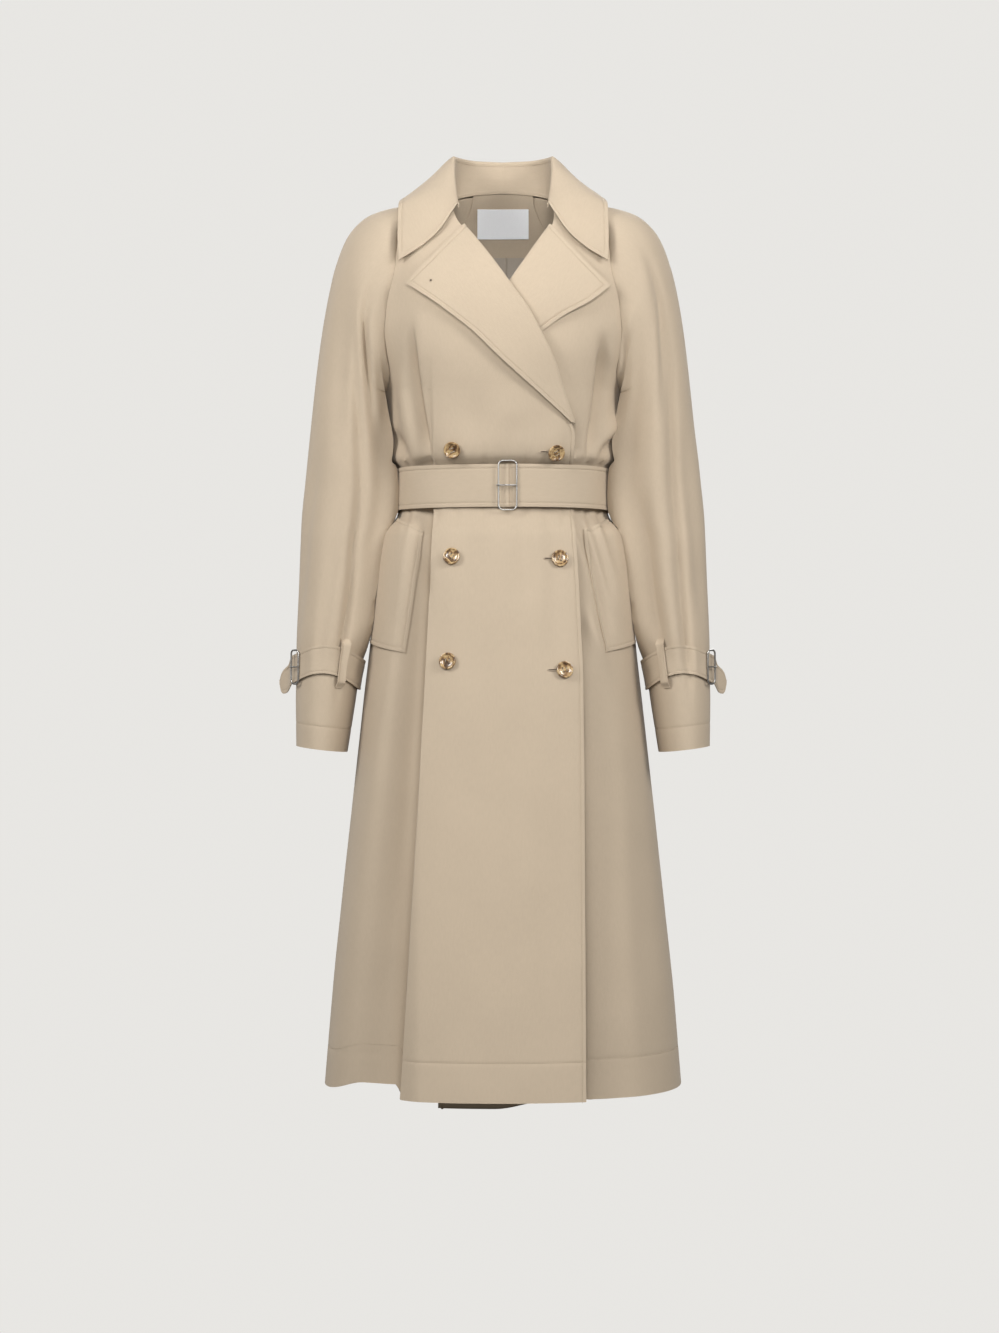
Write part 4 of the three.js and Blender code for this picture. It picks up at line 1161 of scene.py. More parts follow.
class Stitcher:
    """Lays single stitches along lines with geometry nodes."""

    def __init__(self) -> None:
        """Build the node tree."""
        tree = bpy.data.node_groups.new("stitch_line", "GeometryNodeTree")
        tree.is_modifier = True
        sockets = tree.interface
        sockets.new_socket("Geometry", in_out="INPUT", socket_type="NodeSocketGeometry")
        for name in ("Pitch", "Length", "Radius"):
            sockets.new_socket(name, in_out="INPUT", socket_type="NodeSocketFloat")
        sockets.new_socket("Seed", in_out="INPUT", socket_type="NodeSocketInt")
        sockets.new_socket("Thread", in_out="INPUT", socket_type="NodeSocketMaterial")
        sockets.new_socket("Geometry", in_out="OUTPUT", socket_type="NodeSocketGeometry")
        add = tree.nodes.new
        given, done = add("NodeGroupInput"), add("NodeGroupOutput")
        curve, spots = add("GeometryNodeMeshToCurve"), add("GeometryNodeCurveToPoints")
        spots.mode = "LENGTH"
        aim = add("FunctionNodeAlignRotationToVector")
        aim.axis = "Z"
        stitch, lay = add("GeometryNodeMeshCylinder"), add("GeometryNodeInstanceOnPoints")
        stitch.inputs["Vertices"].default_value = 6
        size = add("FunctionNodeRandomValue")
        size.data_type = "FLOAT"
        size.inputs[2].default_value, size.inputs[3].default_value = 0.88, 1.06
        real, paint = add("GeometryNodeRealizeInstances"), add("GeometryNodeSetMaterial")
        link = tree.links.new
        link(given.outputs["Geometry"], curve.inputs["Mesh"])
        link(curve.outputs["Curve"], spots.inputs["Curve"])
        link(given.outputs["Pitch"], spots.inputs["Length"])
        link(given.outputs["Length"], stitch.inputs["Depth"])
        link(given.outputs["Radius"], stitch.inputs["Radius"])
        link(given.outputs["Seed"], size.inputs["Seed"])
        link(spots.outputs["Tangent"], aim.inputs["Vector"])
        link(spots.outputs["Points"], lay.inputs["Points"])
        link(stitch.outputs["Mesh"], lay.inputs["Instance"])
        link(aim.outputs["Rotation"], lay.inputs["Rotation"])
        link(size.outputs[1], lay.inputs["Scale"])
        link(lay.outputs["Instances"], real.inputs["Geometry"])
        link(real.outputs["Geometry"], paint.inputs["Geometry"])
        link(given.outputs["Thread"], paint.inputs["Material"])
        link(paint.outputs["Geometry"], done.inputs["Geometry"])
        self.tree = tree

    def sew(self, name: str, lines: Sequence[Array], thread: bpy.types.Material, pitch: float = 3.4,
            length: float = 2.7, radius: float = 0.22, seed: int = 7) -> bpy.types.Object:
        """Lay stitches along lines.

        Args:
            name: Name of the new piece.
            lines: Lines of points, in millimetres.
            thread: The thread's material.
            pitch: Distance from stitch to stitch.
            length: Length of a stitch.
            radius: Radius of the thread.
            seed: Seed of the stitches' small differences.

        Returns:
            A plain mesh of all the stitches.
        """
        points, edges = [], []
        for line in lines:
            first = len(points)
            points.extend((line * MM).tolist())
            edges.extend((first + k, first + k + 1) for k in range(len(line) - 1))
        guide = bpy.data.meshes.new(name + "_guide")
        guide.from_pydata(points, edges, [])
        carrier = bpy.data.objects.new(name + "_guide", guide)
        bpy.context.collection.objects.link(carrier)
        nodes = carrier.modifiers.new("stitches", "NODES")
        nodes.node_group = self.tree
        values = {"Pitch": pitch * MM, "Length": length * MM, "Radius": radius * MM, "Seed": seed,
                  "Thread": thread}
        for item in self.tree.interface.items_tree:
            if item.in_out == "INPUT" and item.name in values:
                nodes[item.identifier] = values[item.name]
        carrier.update_tag()
        bpy.context.view_layer.update()
        graph = bpy.context.evaluated_depsgraph_get()
        mesh = bpy.data.meshes.new_from_object(carrier.evaluated_get(graph))
        mesh.name = name
        mesh.polygons.foreach_set("use_smooth", [True] * len(mesh.polygons))
        carrier.modifiers.clear()
        bpy.data.objects.remove(carrier)
        made = bpy.data.objects.new(name, mesh)
        bpy.context.collection.objects.link(made)
        return ride(made, "gabardine")


# Body panels


@dataclass
class Panels:
    """The two fronts and the back of the body."""

    finishes: Finishes
    stitcher: Stitcher
    row_height: float = 4.6
    edge_stitch: float = 5.0
    raglan_top_z: float = -24.0
    seam_dip: float = 0.4
    side_hem_rise: float = 14.0
    under_hem_drop: float = 11.0
    crease_share: float = 0.44

    def seam(self, along: Array, face: Face) -> tuple[Array, Array]:
        """Height and angle of a panel's seam: the raglan seam to 1, the side seam to 2.

        Args:
            along: Places along the seam.
            face: The half of the body.

        Returns:
            Heights and angles on the viewer's right.
        """
        part = np.clip(along, 0, 1)
        z = RAGLAN.read(f"{face.value}_z", part) + np.maximum(along - 1, 0) * (HEM_Z - UNDERARM_Z)
        side = RAGLAN.read(f"{face.value}_side", part)
        return z, FORM.angle(side * BODY.read("half", z), z, face)

    def rows(self) -> Array:
        """Places along a panel, closer together at the hem's stitches.

        Returns:
            The places.
        """
        upper = 1 - np.linspace(1, 0, 62)[:-1] ** 2
        heights = np.arange(UNDERARM_Z, HEM_Z, -self.row_height)
        hem = HEM_Z + HEM_DEPTH + np.array([-2.2, -1.1, 0, 1.1, 2.2])
        heights = np.unique(np.concatenate([heights, hem, [HEM_Z]]))[::-1]
        return np.concatenate([upper, 1 + (UNDERARM_Z - heights) / (UNDERARM_Z - HEM_Z)])

    def front_skin(self, side: Side, edge: Table, lifted: bool) -> Skin:
        """The outer face of a front, from its seam to its edge.

        Args:
            side: The wearer's side.
            edge: The front's edge line.
            lifted: True for the upper front.

        Returns:
            The skin.
        """
        def skin(across: Array, along: Array) -> Array:
            """Points of the face.

            Args:
                across: Shares of the way across.
                along: Places along.

            Returns:
                The points.
            """
            z_seam, angle = self.seam(along, Face.FRONT)
            turned = angle if side is Side.LEFT else -180 - angle
            share = (z_seam - self.raglan_top_z) / (UNDERARM_Z - self.raglan_top_z)
            z_edge = np.where(along < 1, mix(EDGE_TOP_Z, UNDERARM_Z, share), z_seam)
            edge_angle = FORM.angle(edge.read("x", z_edge), z_edge, Face.FRONT)
            z = mix(z_seam, z_edge, across)
            around = mix(turned, edge_angle, across)
            if lifted:
                crease = FORM.angle(PRESSED_FOLD.line(z), z, Face.FRONT)
                share = self.crease_share
                folded = np.where(across < share, mix(turned, crease, across / share),
                                  mix(crease, edge_angle, (across - share) / (1 - share)))
                around = mix(around, folded, smooth_step(-z, 330, 411))
            x = FORM.plain(around, z)[..., 0]
            raised = FORM.lift(x, z) if lifted else -self.under_dip(x, z)
            at = FORM.point(around, z, raised)
            low = smooth_step(-z, 640, -HEM_Z)
            if lifted:
                at[..., 2] += self.side_hem_rise * low * smooth_step(-at[..., 0], 127, 135) * (
                    1 - smooth_step(-at[..., 0], 175, 230))
            else:
                at[..., 2] -= self.under_hem_drop * low * smooth_step(-at[..., 0], -60, 10)
            return at

        return skin

    @staticmethod
    def under_dip(x: Array, z: Array) -> Array:
        """How far the lower front sinks beside the edge of the upper one.

        Args:
            x: Places across.
            z: Heights.

        Returns:
            Depths.
        """
        past = np.maximum(x - UPPER_EDGE.read("x", z), 0)
        above = smooth_step(-z, 270, 320) - smooth_step(-z, 338, 350)
        narrow = 8 * (above + smooth_step(-z, 424, 480)) * hump(past, 9)
        return narrow + 14 * smooth_step(-z, 590, 760) * hump(past, 30)

    def back_skin(self, across: Array, along: Array) -> Array:
        """The outer face of the back, from the viewer's right seam to the left one.

        Args:
            across: Shares of the way across.
            along: Places along the seam.

        Returns:
            The points.
        """
        z_seam, angle = self.seam(along, Face.BACK)
        dip = 1 - smooth_step(along, 0, 0.4)
        middle = (across - 0.5) * 2
        z = z_seam + dip * (NECK_Z - RAGLAN.read("back_z", 0)) * (1 - middle ** 2)
        around = mix(angle, 180 - angle, across)
        return FORM.point(around, z)

    def relief(self, edge: Optional[str]) -> Callable[[Margins], Array]:
        """Grooves at the seams and at the hem's and edge's stitches.

        Args:
            edge: The grid's edge that is the front edge, or None for the back.

        Returns:
            The relief.
        """
        def height(at: Margins) -> Array:
            """Heights of the relief.

            Args:
                at: Places on the cloth.

            Returns:
                The heights.
            """
            total = -self.seam_dip * hump(at.left, 3.2)
            if edge is None:
                total = total - self.seam_dip * hump(at.right, 3.2)
                width = at.left + at.right
                total = total - 0.8 * hump(at.left - width / 2, 1.6)
            else:
                total = total + ditch(at.right, self.edge_stitch, 0.45)
            z = at.points[..., 2]
            ripple = np.sin(at.left / 9.0) * np.sin(at.left / 23.0 + 1)
            hem = hump(z - (HEM_Z + HEM_DEPTH), 1.6) * (0.45 + 0.15 * ripple)
            return total - hem

        return height

    def build(self) -> dict[str, Cloth]:
        """Make the panels with their stitches.

        Returns:
            The panels by name.
        """
        rows = self.rows()
        made = {}
        plans = [
            ("front_right", self.front_skin(Side.RIGHT, UPPER_EDGE, True), 112, "right"),
            ("front_left", self.front_skin(Side.LEFT, LOWER_EDGE, False), 96, "right"),
            ("back", self.back_skin, 132, None),
        ]
        for name, skin, columns, edge in plans:
            insets = (0, self.edge_stitch) if edge else (0, 0)
            across = np.linspace(0, 1, columns)
            if name == "front_right":
                beside = np.array([-10, -6, -4, -2.5, -1, 0, 1, 2, 3, 4, 5, 6.5, 8, 10]) * 0.0023
                across = np.unique(np.concatenate([across, self.crease_share + beside]))
            cloth = Cloth(f"coat_{name}", skin, across, rows, insets=insets,
                          relief=self.relief(edge))
            piece = ride(cloth.build(self.finishes.gabardine), "gabardine", name)
            made[name] = cloth
            lines = [cloth.line("low", HEM_DEPTH)]
            if edge:
                lines.append(cloth.line("right", self.edge_stitch, 0.17))
            self.stitcher.sew(f"stitches_{name}", lines, self.finishes.thread)
            self.declare(cloth, name)
        return made

    def declare(self, cloth: Cloth, name: str) -> None:
        """Log the area of a panel's outer face.

        Args:
            cloth: Its wall.
            name: The panel's name.
        """
        log.info("%s measures %.3f square metres", name, cloth.area())


# Sleeves


@dataclass(frozen=True)
class Crease:
    """A trough (or, with a negative depth, a ridge) down a sleeve."""

    turn: float
    top_z: float
    low_z: float
    width: float
    depth: float
    fade: float
    drift: float

    def height(self, turn: Array, z: Array) -> Array:
        """How deep the crease is.

        Args:
            turn: Degrees round the arm, 0 outside, negative in front.
            z: Heights.

        Returns:
            Depths in millimetres.
        """
        down = np.clip((self.top_z - z) / (self.top_z - self.low_z), 0, 1)
        away = (turn - self.turn - self.drift * down) / self.width
        begin = smooth_step(-z, -self.top_z - self.fade * 0.3, -self.top_z + self.fade * 0.7)
        end = smooth_step(z, self.low_z - self.fade * 0.3, self.low_z + self.fade * 0.7)
        return self.depth * begin * end * np.exp(-away * away)


CREASES = {
    Side.RIGHT: [
        Crease(-90, -50, -640, 7, 7, 120, -27), Crease(-112, -140, -600, 10, -4, 140, -20),
        Crease(-62, -90, -330, 16, 4, 90, -14), Crease(-128, -150, -590, 17, 8, 120, 0),
        Crease(-156, -262, -590, 22, -13, 60, 0),
        Crease(-40, -330, -560, 14, 4, 90, 16), Crease(-84, -420, -600, 9, 3, 70, 8),
        Crease(70, -90, -380, 24, 6, 100, 18), Crease(120, -190, -460, 18, 7, 80, -14),
        Crease(60, -400, -600, 20, 5, 80, 12), Crease(-20, -120, -300, 18, 2.5, 80, 6),
    ],
    Side.LEFT: [
        Crease(-59, -50, -640, 8, 8, 120, -18), Crease(-84, -110, -620, 12, -4, 120, -12),
        Crease(-122, -70, -230, 10, 6, 60, -10), Crease(-126, -180, -590, 17, 7, 120, 0),
        Crease(-156, -262, -590, 22, -13, 60, 0),
        Crease(-48, -300, -560, 13, 4, 90, 8), Crease(-112, -380, -600, 9, 4, 80, -6),
        Crease(74, -90, -360, 22, 6, 100, 16), Crease(118, -200, -470, 18, 7, 80, -12),
        Crease(56, -390, -600, 22, 4.5, 80, 12), Crease(-18, -150, -330, 18, 2.5, 80, 4),
    ],
}


@dataclass
class Sleeves:
    """The raglan sleeves, from the neck to the cuffs' hems."""

    finishes: Finishes
    stitcher: Stitcher
    spacing: float = 4.5
    hem_stitch: float = 30.0
    gather_reach: float = 20.0
    gather_depth: float = 1.3
    gather_wave: float = 1.1
    armpit_start: float = 0.78
    armpit_end: float = 1.2
    armpit_share: float = 0.5

    def section(self, side: Side, part: dict[str, Array], turn: Array, raised: Array) -> Array:
        """Points of one oval section.

        Args:
            side: The wearer's side, for its creases.
            part: The section's sizes.
            turn: Degrees round the arm.
            raised: Distances off the cloth.

        Returns:
            The points.
        """
        c, s = np.cos(np.radians(turn)), np.sin(np.radians(turn))
        lean = np.radians(part["lean"])
        around = np.where(turn > 180, turn - 360, turn)
        depth = sum(crease.height(around, part["z"]) for crease in CREASES[side])
        gather = hump(part["z"] - strap_z(around), self.gather_reach)
        waves = self.gather_wave * np.cos(np.radians(around * 11 + 20)) * np.cos(np.radians(around * 3))
        depth = depth + gather * (self.gather_depth + waves)
        out = part["across"] * (c - 1) + (raised - depth) * c
        deep = part["depth"] * s + (raised - depth) * s
        return xyz(part["x"] + out * np.cos(lean), part["forward"] + deep, part["z"] + out * np.sin(lean))

    def tube(self, side: Side, turn: Array, z: Array, raised: Array = 0.0) -> Array:
        """Points of the sleeve below the underarm, on the viewer's right.

        Args:
            side: The wearer's side, for its creases.
            turn: Degrees round the arm.
            z: Heights of the outer line.
            raised: Distances off the cloth.

        Returns:
            The points.
        """
        outer, inner, drop = (SLEEVE.read(name, z) for name in ("outer", "inner", "drop"))
        part = {
            "x": outer, "z": z, "across": np.hypot(outer - inner, drop) / 2,
            "depth": SLEEVE.read("depth", z), "forward": -SLEEVE.read("forward", z),
            "lean": np.degrees(np.arctan2(drop, outer - inner)),
        }
        at = self.section(side, part, turn, raised)
        height = at[..., 2]
        beside = smooth_step(-height, -BELT_TOP_Z + BELT_WIDTH, 430)
        beside = beside * smooth_step(height, -650, CUFF_STRAP_Z)
        belted = smooth_step(-height, 335, 352) * smooth_step(height, -430, -416)
        begin = smooth_step(-height, -UNDERARM_Z - 4, -UNDERARM_Z + 10)
        nearest = FORM.reach(at[..., 1], height)
        looped = LOOP_ROOM * smooth_step(-np.abs(at[..., 1]), -14, -8)
        nearest = nearest + (SLEEVE_CLEARANCE + WELT_ROOM * beside + (BELT_ROOM + looped) * belted) * begin
        at[..., 0] = np.where(height < UNDERARM_Z + 4, np.maximum(at[..., 0], nearest), at[..., 0])
        return at

    def shoulder(self, side: Side, share: Array, part_place: Array) -> Array:
        """Points of the sleeve above the underarm, on the viewer's right.

        Args:
            side: The wearer's side, for its creases.
            share: -1 at the front seam, 1 at the back one.
            part_place: Places from neck to underarm, 0 to 1.

        Returns:
            The points.
        """
        part = {name: SHOULDER.read(name, part_place) for name in ("x", "z", "across", "depth", "lean")}
        part["forward"] = 0.0
        turn = SHOULDER.read("turn", part_place)
        end_turn = np.where(share < 0, -turn, turn)
        at = self.section(side, part, share * turn, 0.0)
        end = self.section(side, part, end_turn, 0.0)
        seam = np.zeros_like(at)
        for face, here in ((Face.FRONT, share < 0), (Face.BACK, share >= 0)):
            z = RAGLAN.read(f"{face.value}_z", part_place)
            edge_x = RAGLAN.read(f"{face.value}_side", part_place) * BODY.read("half", z)
            placed = edge_x * (1 if side is Side.LEFT else -1)
            angle = FORM.angle(placed, z, face)
            raised = FORM.lift(placed, z) if side is Side.RIGHT and face is Face.FRONT else 0.0
            point = FORM.point(angle, z, raised)
            point = point * np.array([side.value, 1, 1])
            seam = np.where(here[..., None], point, seam)
        pull = seam - end
        soft = np.abs(share) ** 2.2
        tilt = np.abs(share) ** mix(1, 2.2, smooth_step(part_place, 0.1, 0.5))
        return at + pull * np.stack([soft, soft, tilt], axis=-1)

    def skin(self, side: Side) -> Skin:
        """The outer face of a sleeve.

        Args:
            side: The wearer's side.

        Returns:
            The skin: places across from -1 to 1, along from 0 to 2.
        """
        def raw(share: Array, along: Array) -> Array:
            """Points of the sleeve before its seams are set.

            Args:
                share: Shares of the way round.
                along: Places along.

            Returns:
                The points.
            """
            upper = self.shoulder(side, share, np.clip(along, 0, 1))
            z = SLEEVE_TOP_Z + np.clip(along - 1, 0, 1) * (SLEEVE_LOW_Z - SLEEVE_TOP_Z)
            lower = self.tube(side, share * 180, z)
            both = np.where((along <= 1)[..., None], upper, lower)
            return both * np.array([side.value, 1, 1])

        def points(share: Array, along: Array) -> Array:
            """Points of the face.

            Args:
                share: Shares of the way round.
                along: Places along.

            Returns:
                The points.
            """
            at = raw(share, along)
            first, last = self.armpit_start, self.armpit_end
            ends = [raw(share, np.full_like(along, place)) for place in (first, last)]
            ahead = unit(raw(share, np.full_like(along, first + 0.01)) - ends[0])
            back = unit(raw(share, np.full_like(along, last - 0.01)) - ends[1])
            reach = np.linalg.norm(ends[1] - ends[0], axis=-1, keepdims=True) / 3
            t = np.where(along < 1, (along - first) / (1 - first) * self.armpit_share,
                         self.armpit_share + (along - 1) / (last - 1) * (1 - self.armpit_share))
            t = np.clip(t, 0, 1)[..., None]
            bent = (ends[0] * (1 - t) ** 3 + (ends[0] + ahead * reach) * 3 * t * (1 - t) ** 2
                    + (ends[1] + back * reach) * 3 * t * t * (1 - t) + ends[1] * t ** 3)
            blend = smooth_step(-np.abs(share), -0.97, -0.72) * ((along > first) & (along < last))
            return mix(at, bent, blend[..., None])

        return points

    def relief(self, at: Margins) -> Array:
        """Grooves at the seams and the cuff's hem.

        Args:
            at: Places on the sleeve.

        Returns:
            Heights.
        """
        total = -0.4 * hump(at.left, 3.2) - 0.4 * hump(at.right, 3.2)
        return total - 0.4 * hump(at.low - self.hem_stitch, 1.5)

    def build(self) -> dict[Side, Cloth]:
        """Make both sleeves with their stitches.

        Returns:
            The sleeves by side.
        """
        made = {}
        length = SLEEVE_TOP_Z - SLEEVE_LOW_Z
        low = np.linspace(1, 2, int(length / self.spacing))[1:]
        fine = 2 - (self.hem_stitch + np.array([-2, -1, 0, 1, 2])) / length
        upper = 1 - np.linspace(1, 0, 80) ** 1.6
        along = np.unique(np.concatenate([upper, low, fine]))
        for side in Side:
            cloth = Cloth(f"coat_sleeve_{side.word}", self.skin(side), np.linspace(-1, 1, 97), along,
                          centre_x=side.value * 210, relief=self.relief)
            piece = ride(cloth.build(self.finishes.gabardine), "gabardine", f"sleeve_{side.word}")
            self.stitcher.sew(f"stitches_sleeve_{side.word}", [cloth.line("low", self.hem_stitch)],
                              self.finishes.thread)
            log.info("sleeve %s measures %.3f square metres", side.word, cloth.area())
            made[side] = cloth
        return made


def strap_z(turn: Array) -> Array:
    """Height of a cuff strap's middle line at a turn round the sleeve.

    Args:
        turn: Degrees round the arm.

    Returns:
        Heights.
    """
    return CUFF_STRAP_Z + CUFF_STRAP_ARCH * np.maximum(0, -np.sin(np.radians(turn))) ** 2


# Collar and lapels


@dataclass
class Lapels:
    """The turned lapels of both fronts."""

    finishes: Finishes
    stitcher: Stitcher
    stitch: float = 6.0
    eyelet_place: tuple[float, float] = (-90.0, -126.0)

    def skin(self, table: Table, lifted: bool) -> Skin:
        """The outer face of a lapel, from its roll to its outer edge.

        Args:
            table: The lapel's rows.
            lifted: True on the upper front.

        Returns:
            The skin.
        """
        def points(across: Array, along: Array) -> Array:
            """Points of the face.

            Args:
                across: Shares of the way across.
                along: Places along.

            Returns:
                The points.
            """
            roll = np.stack([table.read("roll_x", along), table.read("roll_z", along)], axis=-1)
            edge = np.stack([table.read("edge_x", along), table.read("edge_z", along)], axis=-1)
            length = np.linalg.norm(edge - roll, axis=-1)
            towards = (edge - roll) / length[..., None]
            rise = table.read("rise", along)
            last = LAPEL_TURN[-1][1]
            ones = np.ones_like(length)
            section = [np.stack([ones * beyond, ones * above], axis=-1) for beyond, above in LAPEL_TURN[:-1]]
            section.append(np.stack([-np.minimum(5, length * 0.4), ones * last], axis=-1))
            section.append(np.stack([-length * 0.6, mix(last, rise, 0.35)], axis=-1))
            section.append(np.stack([-length, rise], axis=-1))
            place = catmull(section, across)
            at = roll - towards * place[..., :1]
            return FORM.front(at[..., 0], at[..., 1], place[..., 1], lifted)

        return points

    def relief(self, at: Margins) -> Array:
        """Grooves along the outer and the top edge.

        Args:
            at: Places on the lapel.

        Returns:
            Heights.
        """
        away = np.minimum(at.right, at.top)
        wave = 0.5 * np.sin(at.top / 21) * smooth_step(at.right, 30, 4)
        return ditch(away, self.stitch, 0.55) + wave

    def build(self) -> None:
        """Make both lapels with their stitches."""
        first = np.arange(0, 0.3, 0.018)
        plans = [
            ("right", UPPER_LAPEL, True, 7, (0.12, 0.27), 0.0205),
            ("left", LOWER_LAPEL, False, 5, (0.12, 0.2), 0.0156),
        ]
        across = np.concatenate([np.linspace(0, 0.42, 16)[:-1], np.linspace(0.42, 1, 34)])
        for word, table, lifted, rows, flat, area in plans:
            along = np.concatenate([first, np.linspace(0.3, rows, 70)])
            cloth = Cloth(f"coat_lapel_{word}", self.skin(table, lifted), across, along, toward=(0, -1, 0),
                          insets=(0, self.stitch), relief=self.relief)
            piece = ride(cloth.build(self.finishes.gabardine), "gabardine", f"lapel_{word}")
            log.info("lapel %s measures %.4f square metres", word, cloth.area())
            lines = [cloth.line("right", self.stitch, 0.1), cloth.line("top", self.stitch, 0.3, 0.93)]
            self.stitcher.sew(f"stitches_lapel_{word}", lines, self.finishes.thread)
            if lifted:
                self.eyelet(cloth)

    def eyelet(self, cloth: Cloth) -> None:
        """A small worked hole near the lapel's tip.

        Args:
            cloth: The lapel's wall.
        """
        away = np.linalg.norm(cloth.points[..., [0, 2]] - np.array(self.eyelet_place), axis=-1)
        row, column = np.unravel_index(np.argmin(away), away.shape)
        spot, out = cloth.points[row, column], cloth.outward[row, column]
        right = unit(np.cross(out, np.array([0, 0, 1.0])))
        up = np.cross(right, out)
        turns = np.linspace(0, 2 * math.pi, 20, endpoint=False)[:, None]
        ring = spot + out * 0.2 + (np.cos(turns) * right + np.sin(turns) * up) * 1.9
        ride(tube("lapel_eyelet_rim", ring, 0.5, self.finishes.thread, 8, True), "gabardine")
        # a dark plug in the eyelet: painted shade of the hole's inside
        plug = np.array([spot - out * 0.5, spot + out * 0.25])
        ride(tube("lapel_eyelet_hole", plug, 1.6, self.finishes.slit_shade, 16), "gabardine")


@dataclass
class Collar:
    """The collar's stand, and the fall that turns over it."""

    finishes: Finishes
    stitcher: Stitcher
    stitch: float = 6.0
    gap: float = 0.3

    @staticmethod
    def line(name: str, place: Array) -> Array:
        """Points of one of the collar's lines.

        Args:
            name: seam, roll, mid or edge.
            place: Places from -1 to 1, 0 at the centre of the back.

        Returns:
            The points.
        """
        away = np.minimum(np.abs(place), 1)
        x, y, z = (COLLAR.read(f"{name}_{axis}", away) for axis in "xyz")
        return xyz(np.sign(place) * x, y, z)

    def stand_skin(self, across: Array, along: Array) -> Array:
        """The outer face of the stand, from the seam upwards.

        Args:
            across: Shares of the height.
            along: Places round the collar.

        Returns:
            The points.
        """
        seam, roll = self.line("seam", along), self.line("roll", along)
        height = np.linalg.norm(roll - seam, axis=-1)
        share = mix(self.gap * 2, height - STAND_TOP, across) / height
        return mix(seam, roll, share[..., None])

    def fall_skin(self, across: Array, along: Array) -> Array:
        """The outer face of the fall, from inside the roll to its outer edge.

        Args:
            across: Shares of the way.
            along: Places round the collar.

        Returns:
            The points.
        """
        seam, roll, mid, edge = (self.line(name, along) for name in ("seam", "roll", "mid", "edge"))
        height = np.linalg.norm(roll - seam, axis=-1)[..., None]
        up = (roll - seam) / height
        out = unit(roll * np.array([1, 1, 0]))
        out = unit(out - up * np.sum(out * up, axis=-1, keepdims=True))
        over = roll + out * ROLL_WIDTH

        def curve(t: float) -> Array:
            """A place on the fall's curve, from its roll to its edge."""
            return over * (1 - t) ** 2 + mid * 2 * t * (1 - t) + edge * t * t

        section = [
            seam + up * (height - STAND_TOP + self.gap * 1.5), roll - up,
            roll + up * 1.4 + out * ROLL_WIDTH * 0.5, curve(0.12), curve(0.45), curve(0.72), edge,
        ]
        return catmull(section, across)

    def relief(self, at: Margins) -> Array:
        """Grooves along the fall's outer edge and front ends.

        Args:
            at: Places on the fall.

        Returns:
            Heights.
        """
        away = np.minimum(np.minimum(at.right, at.top), at.low)
        wave = 0.6 * np.sin(at.top / 26 + 0.7) * smooth_step(at.right, 50, 5)
        return ditch(away, self.stitch, 0.55) + wave

    def build(self) -> None:
        """Make the stand and the fall."""
        ends = 1 - np.linspace(0, 0.1, 24)
        half = np.unique(np.concatenate([np.linspace(0, 0.9, 64), ends]))
        along = np.unique(np.concatenate([-half, half]))
        fall = Cloth("coat_collar_fall", self.fall_skin, np.linspace(0, 1, 44), along, thick=TURNED,
                     insets=(0, self.stitch), relief=self.relief)
        piece = ride(fall.build(self.finishes.gabardine), "gabardine", "collar_fall")
        log.info("collar fall measures %.4f square metres", fall.area())
        lines = [fall.line("right", self.stitch, 0.02, 0.98), fall.line("top", self.stitch, 0.2, 0.9),
                 fall.line("low", self.stitch, 0.2, 0.9)]
        self.stitcher.sew("stitches_collar", lines, self.finishes.thread)
        inner = along[np.abs(along) < STAND_END]
        stand = Cloth("coat_collar_stand", self.stand_skin, np.linspace(0, 1, 16), inner, insets=(3.5, 0),
                      relief=lambda at: -0.4 * hump(at.left - 3.5, 1.0) - 0.3 * hump(at.right - 16, 1.2))
        piece = ride(stand.build(self.finishes.gabardine), "gabardine", "collar_stand")
        log.info("collar stand measures %.4f square metres", stand.area())


# Inside


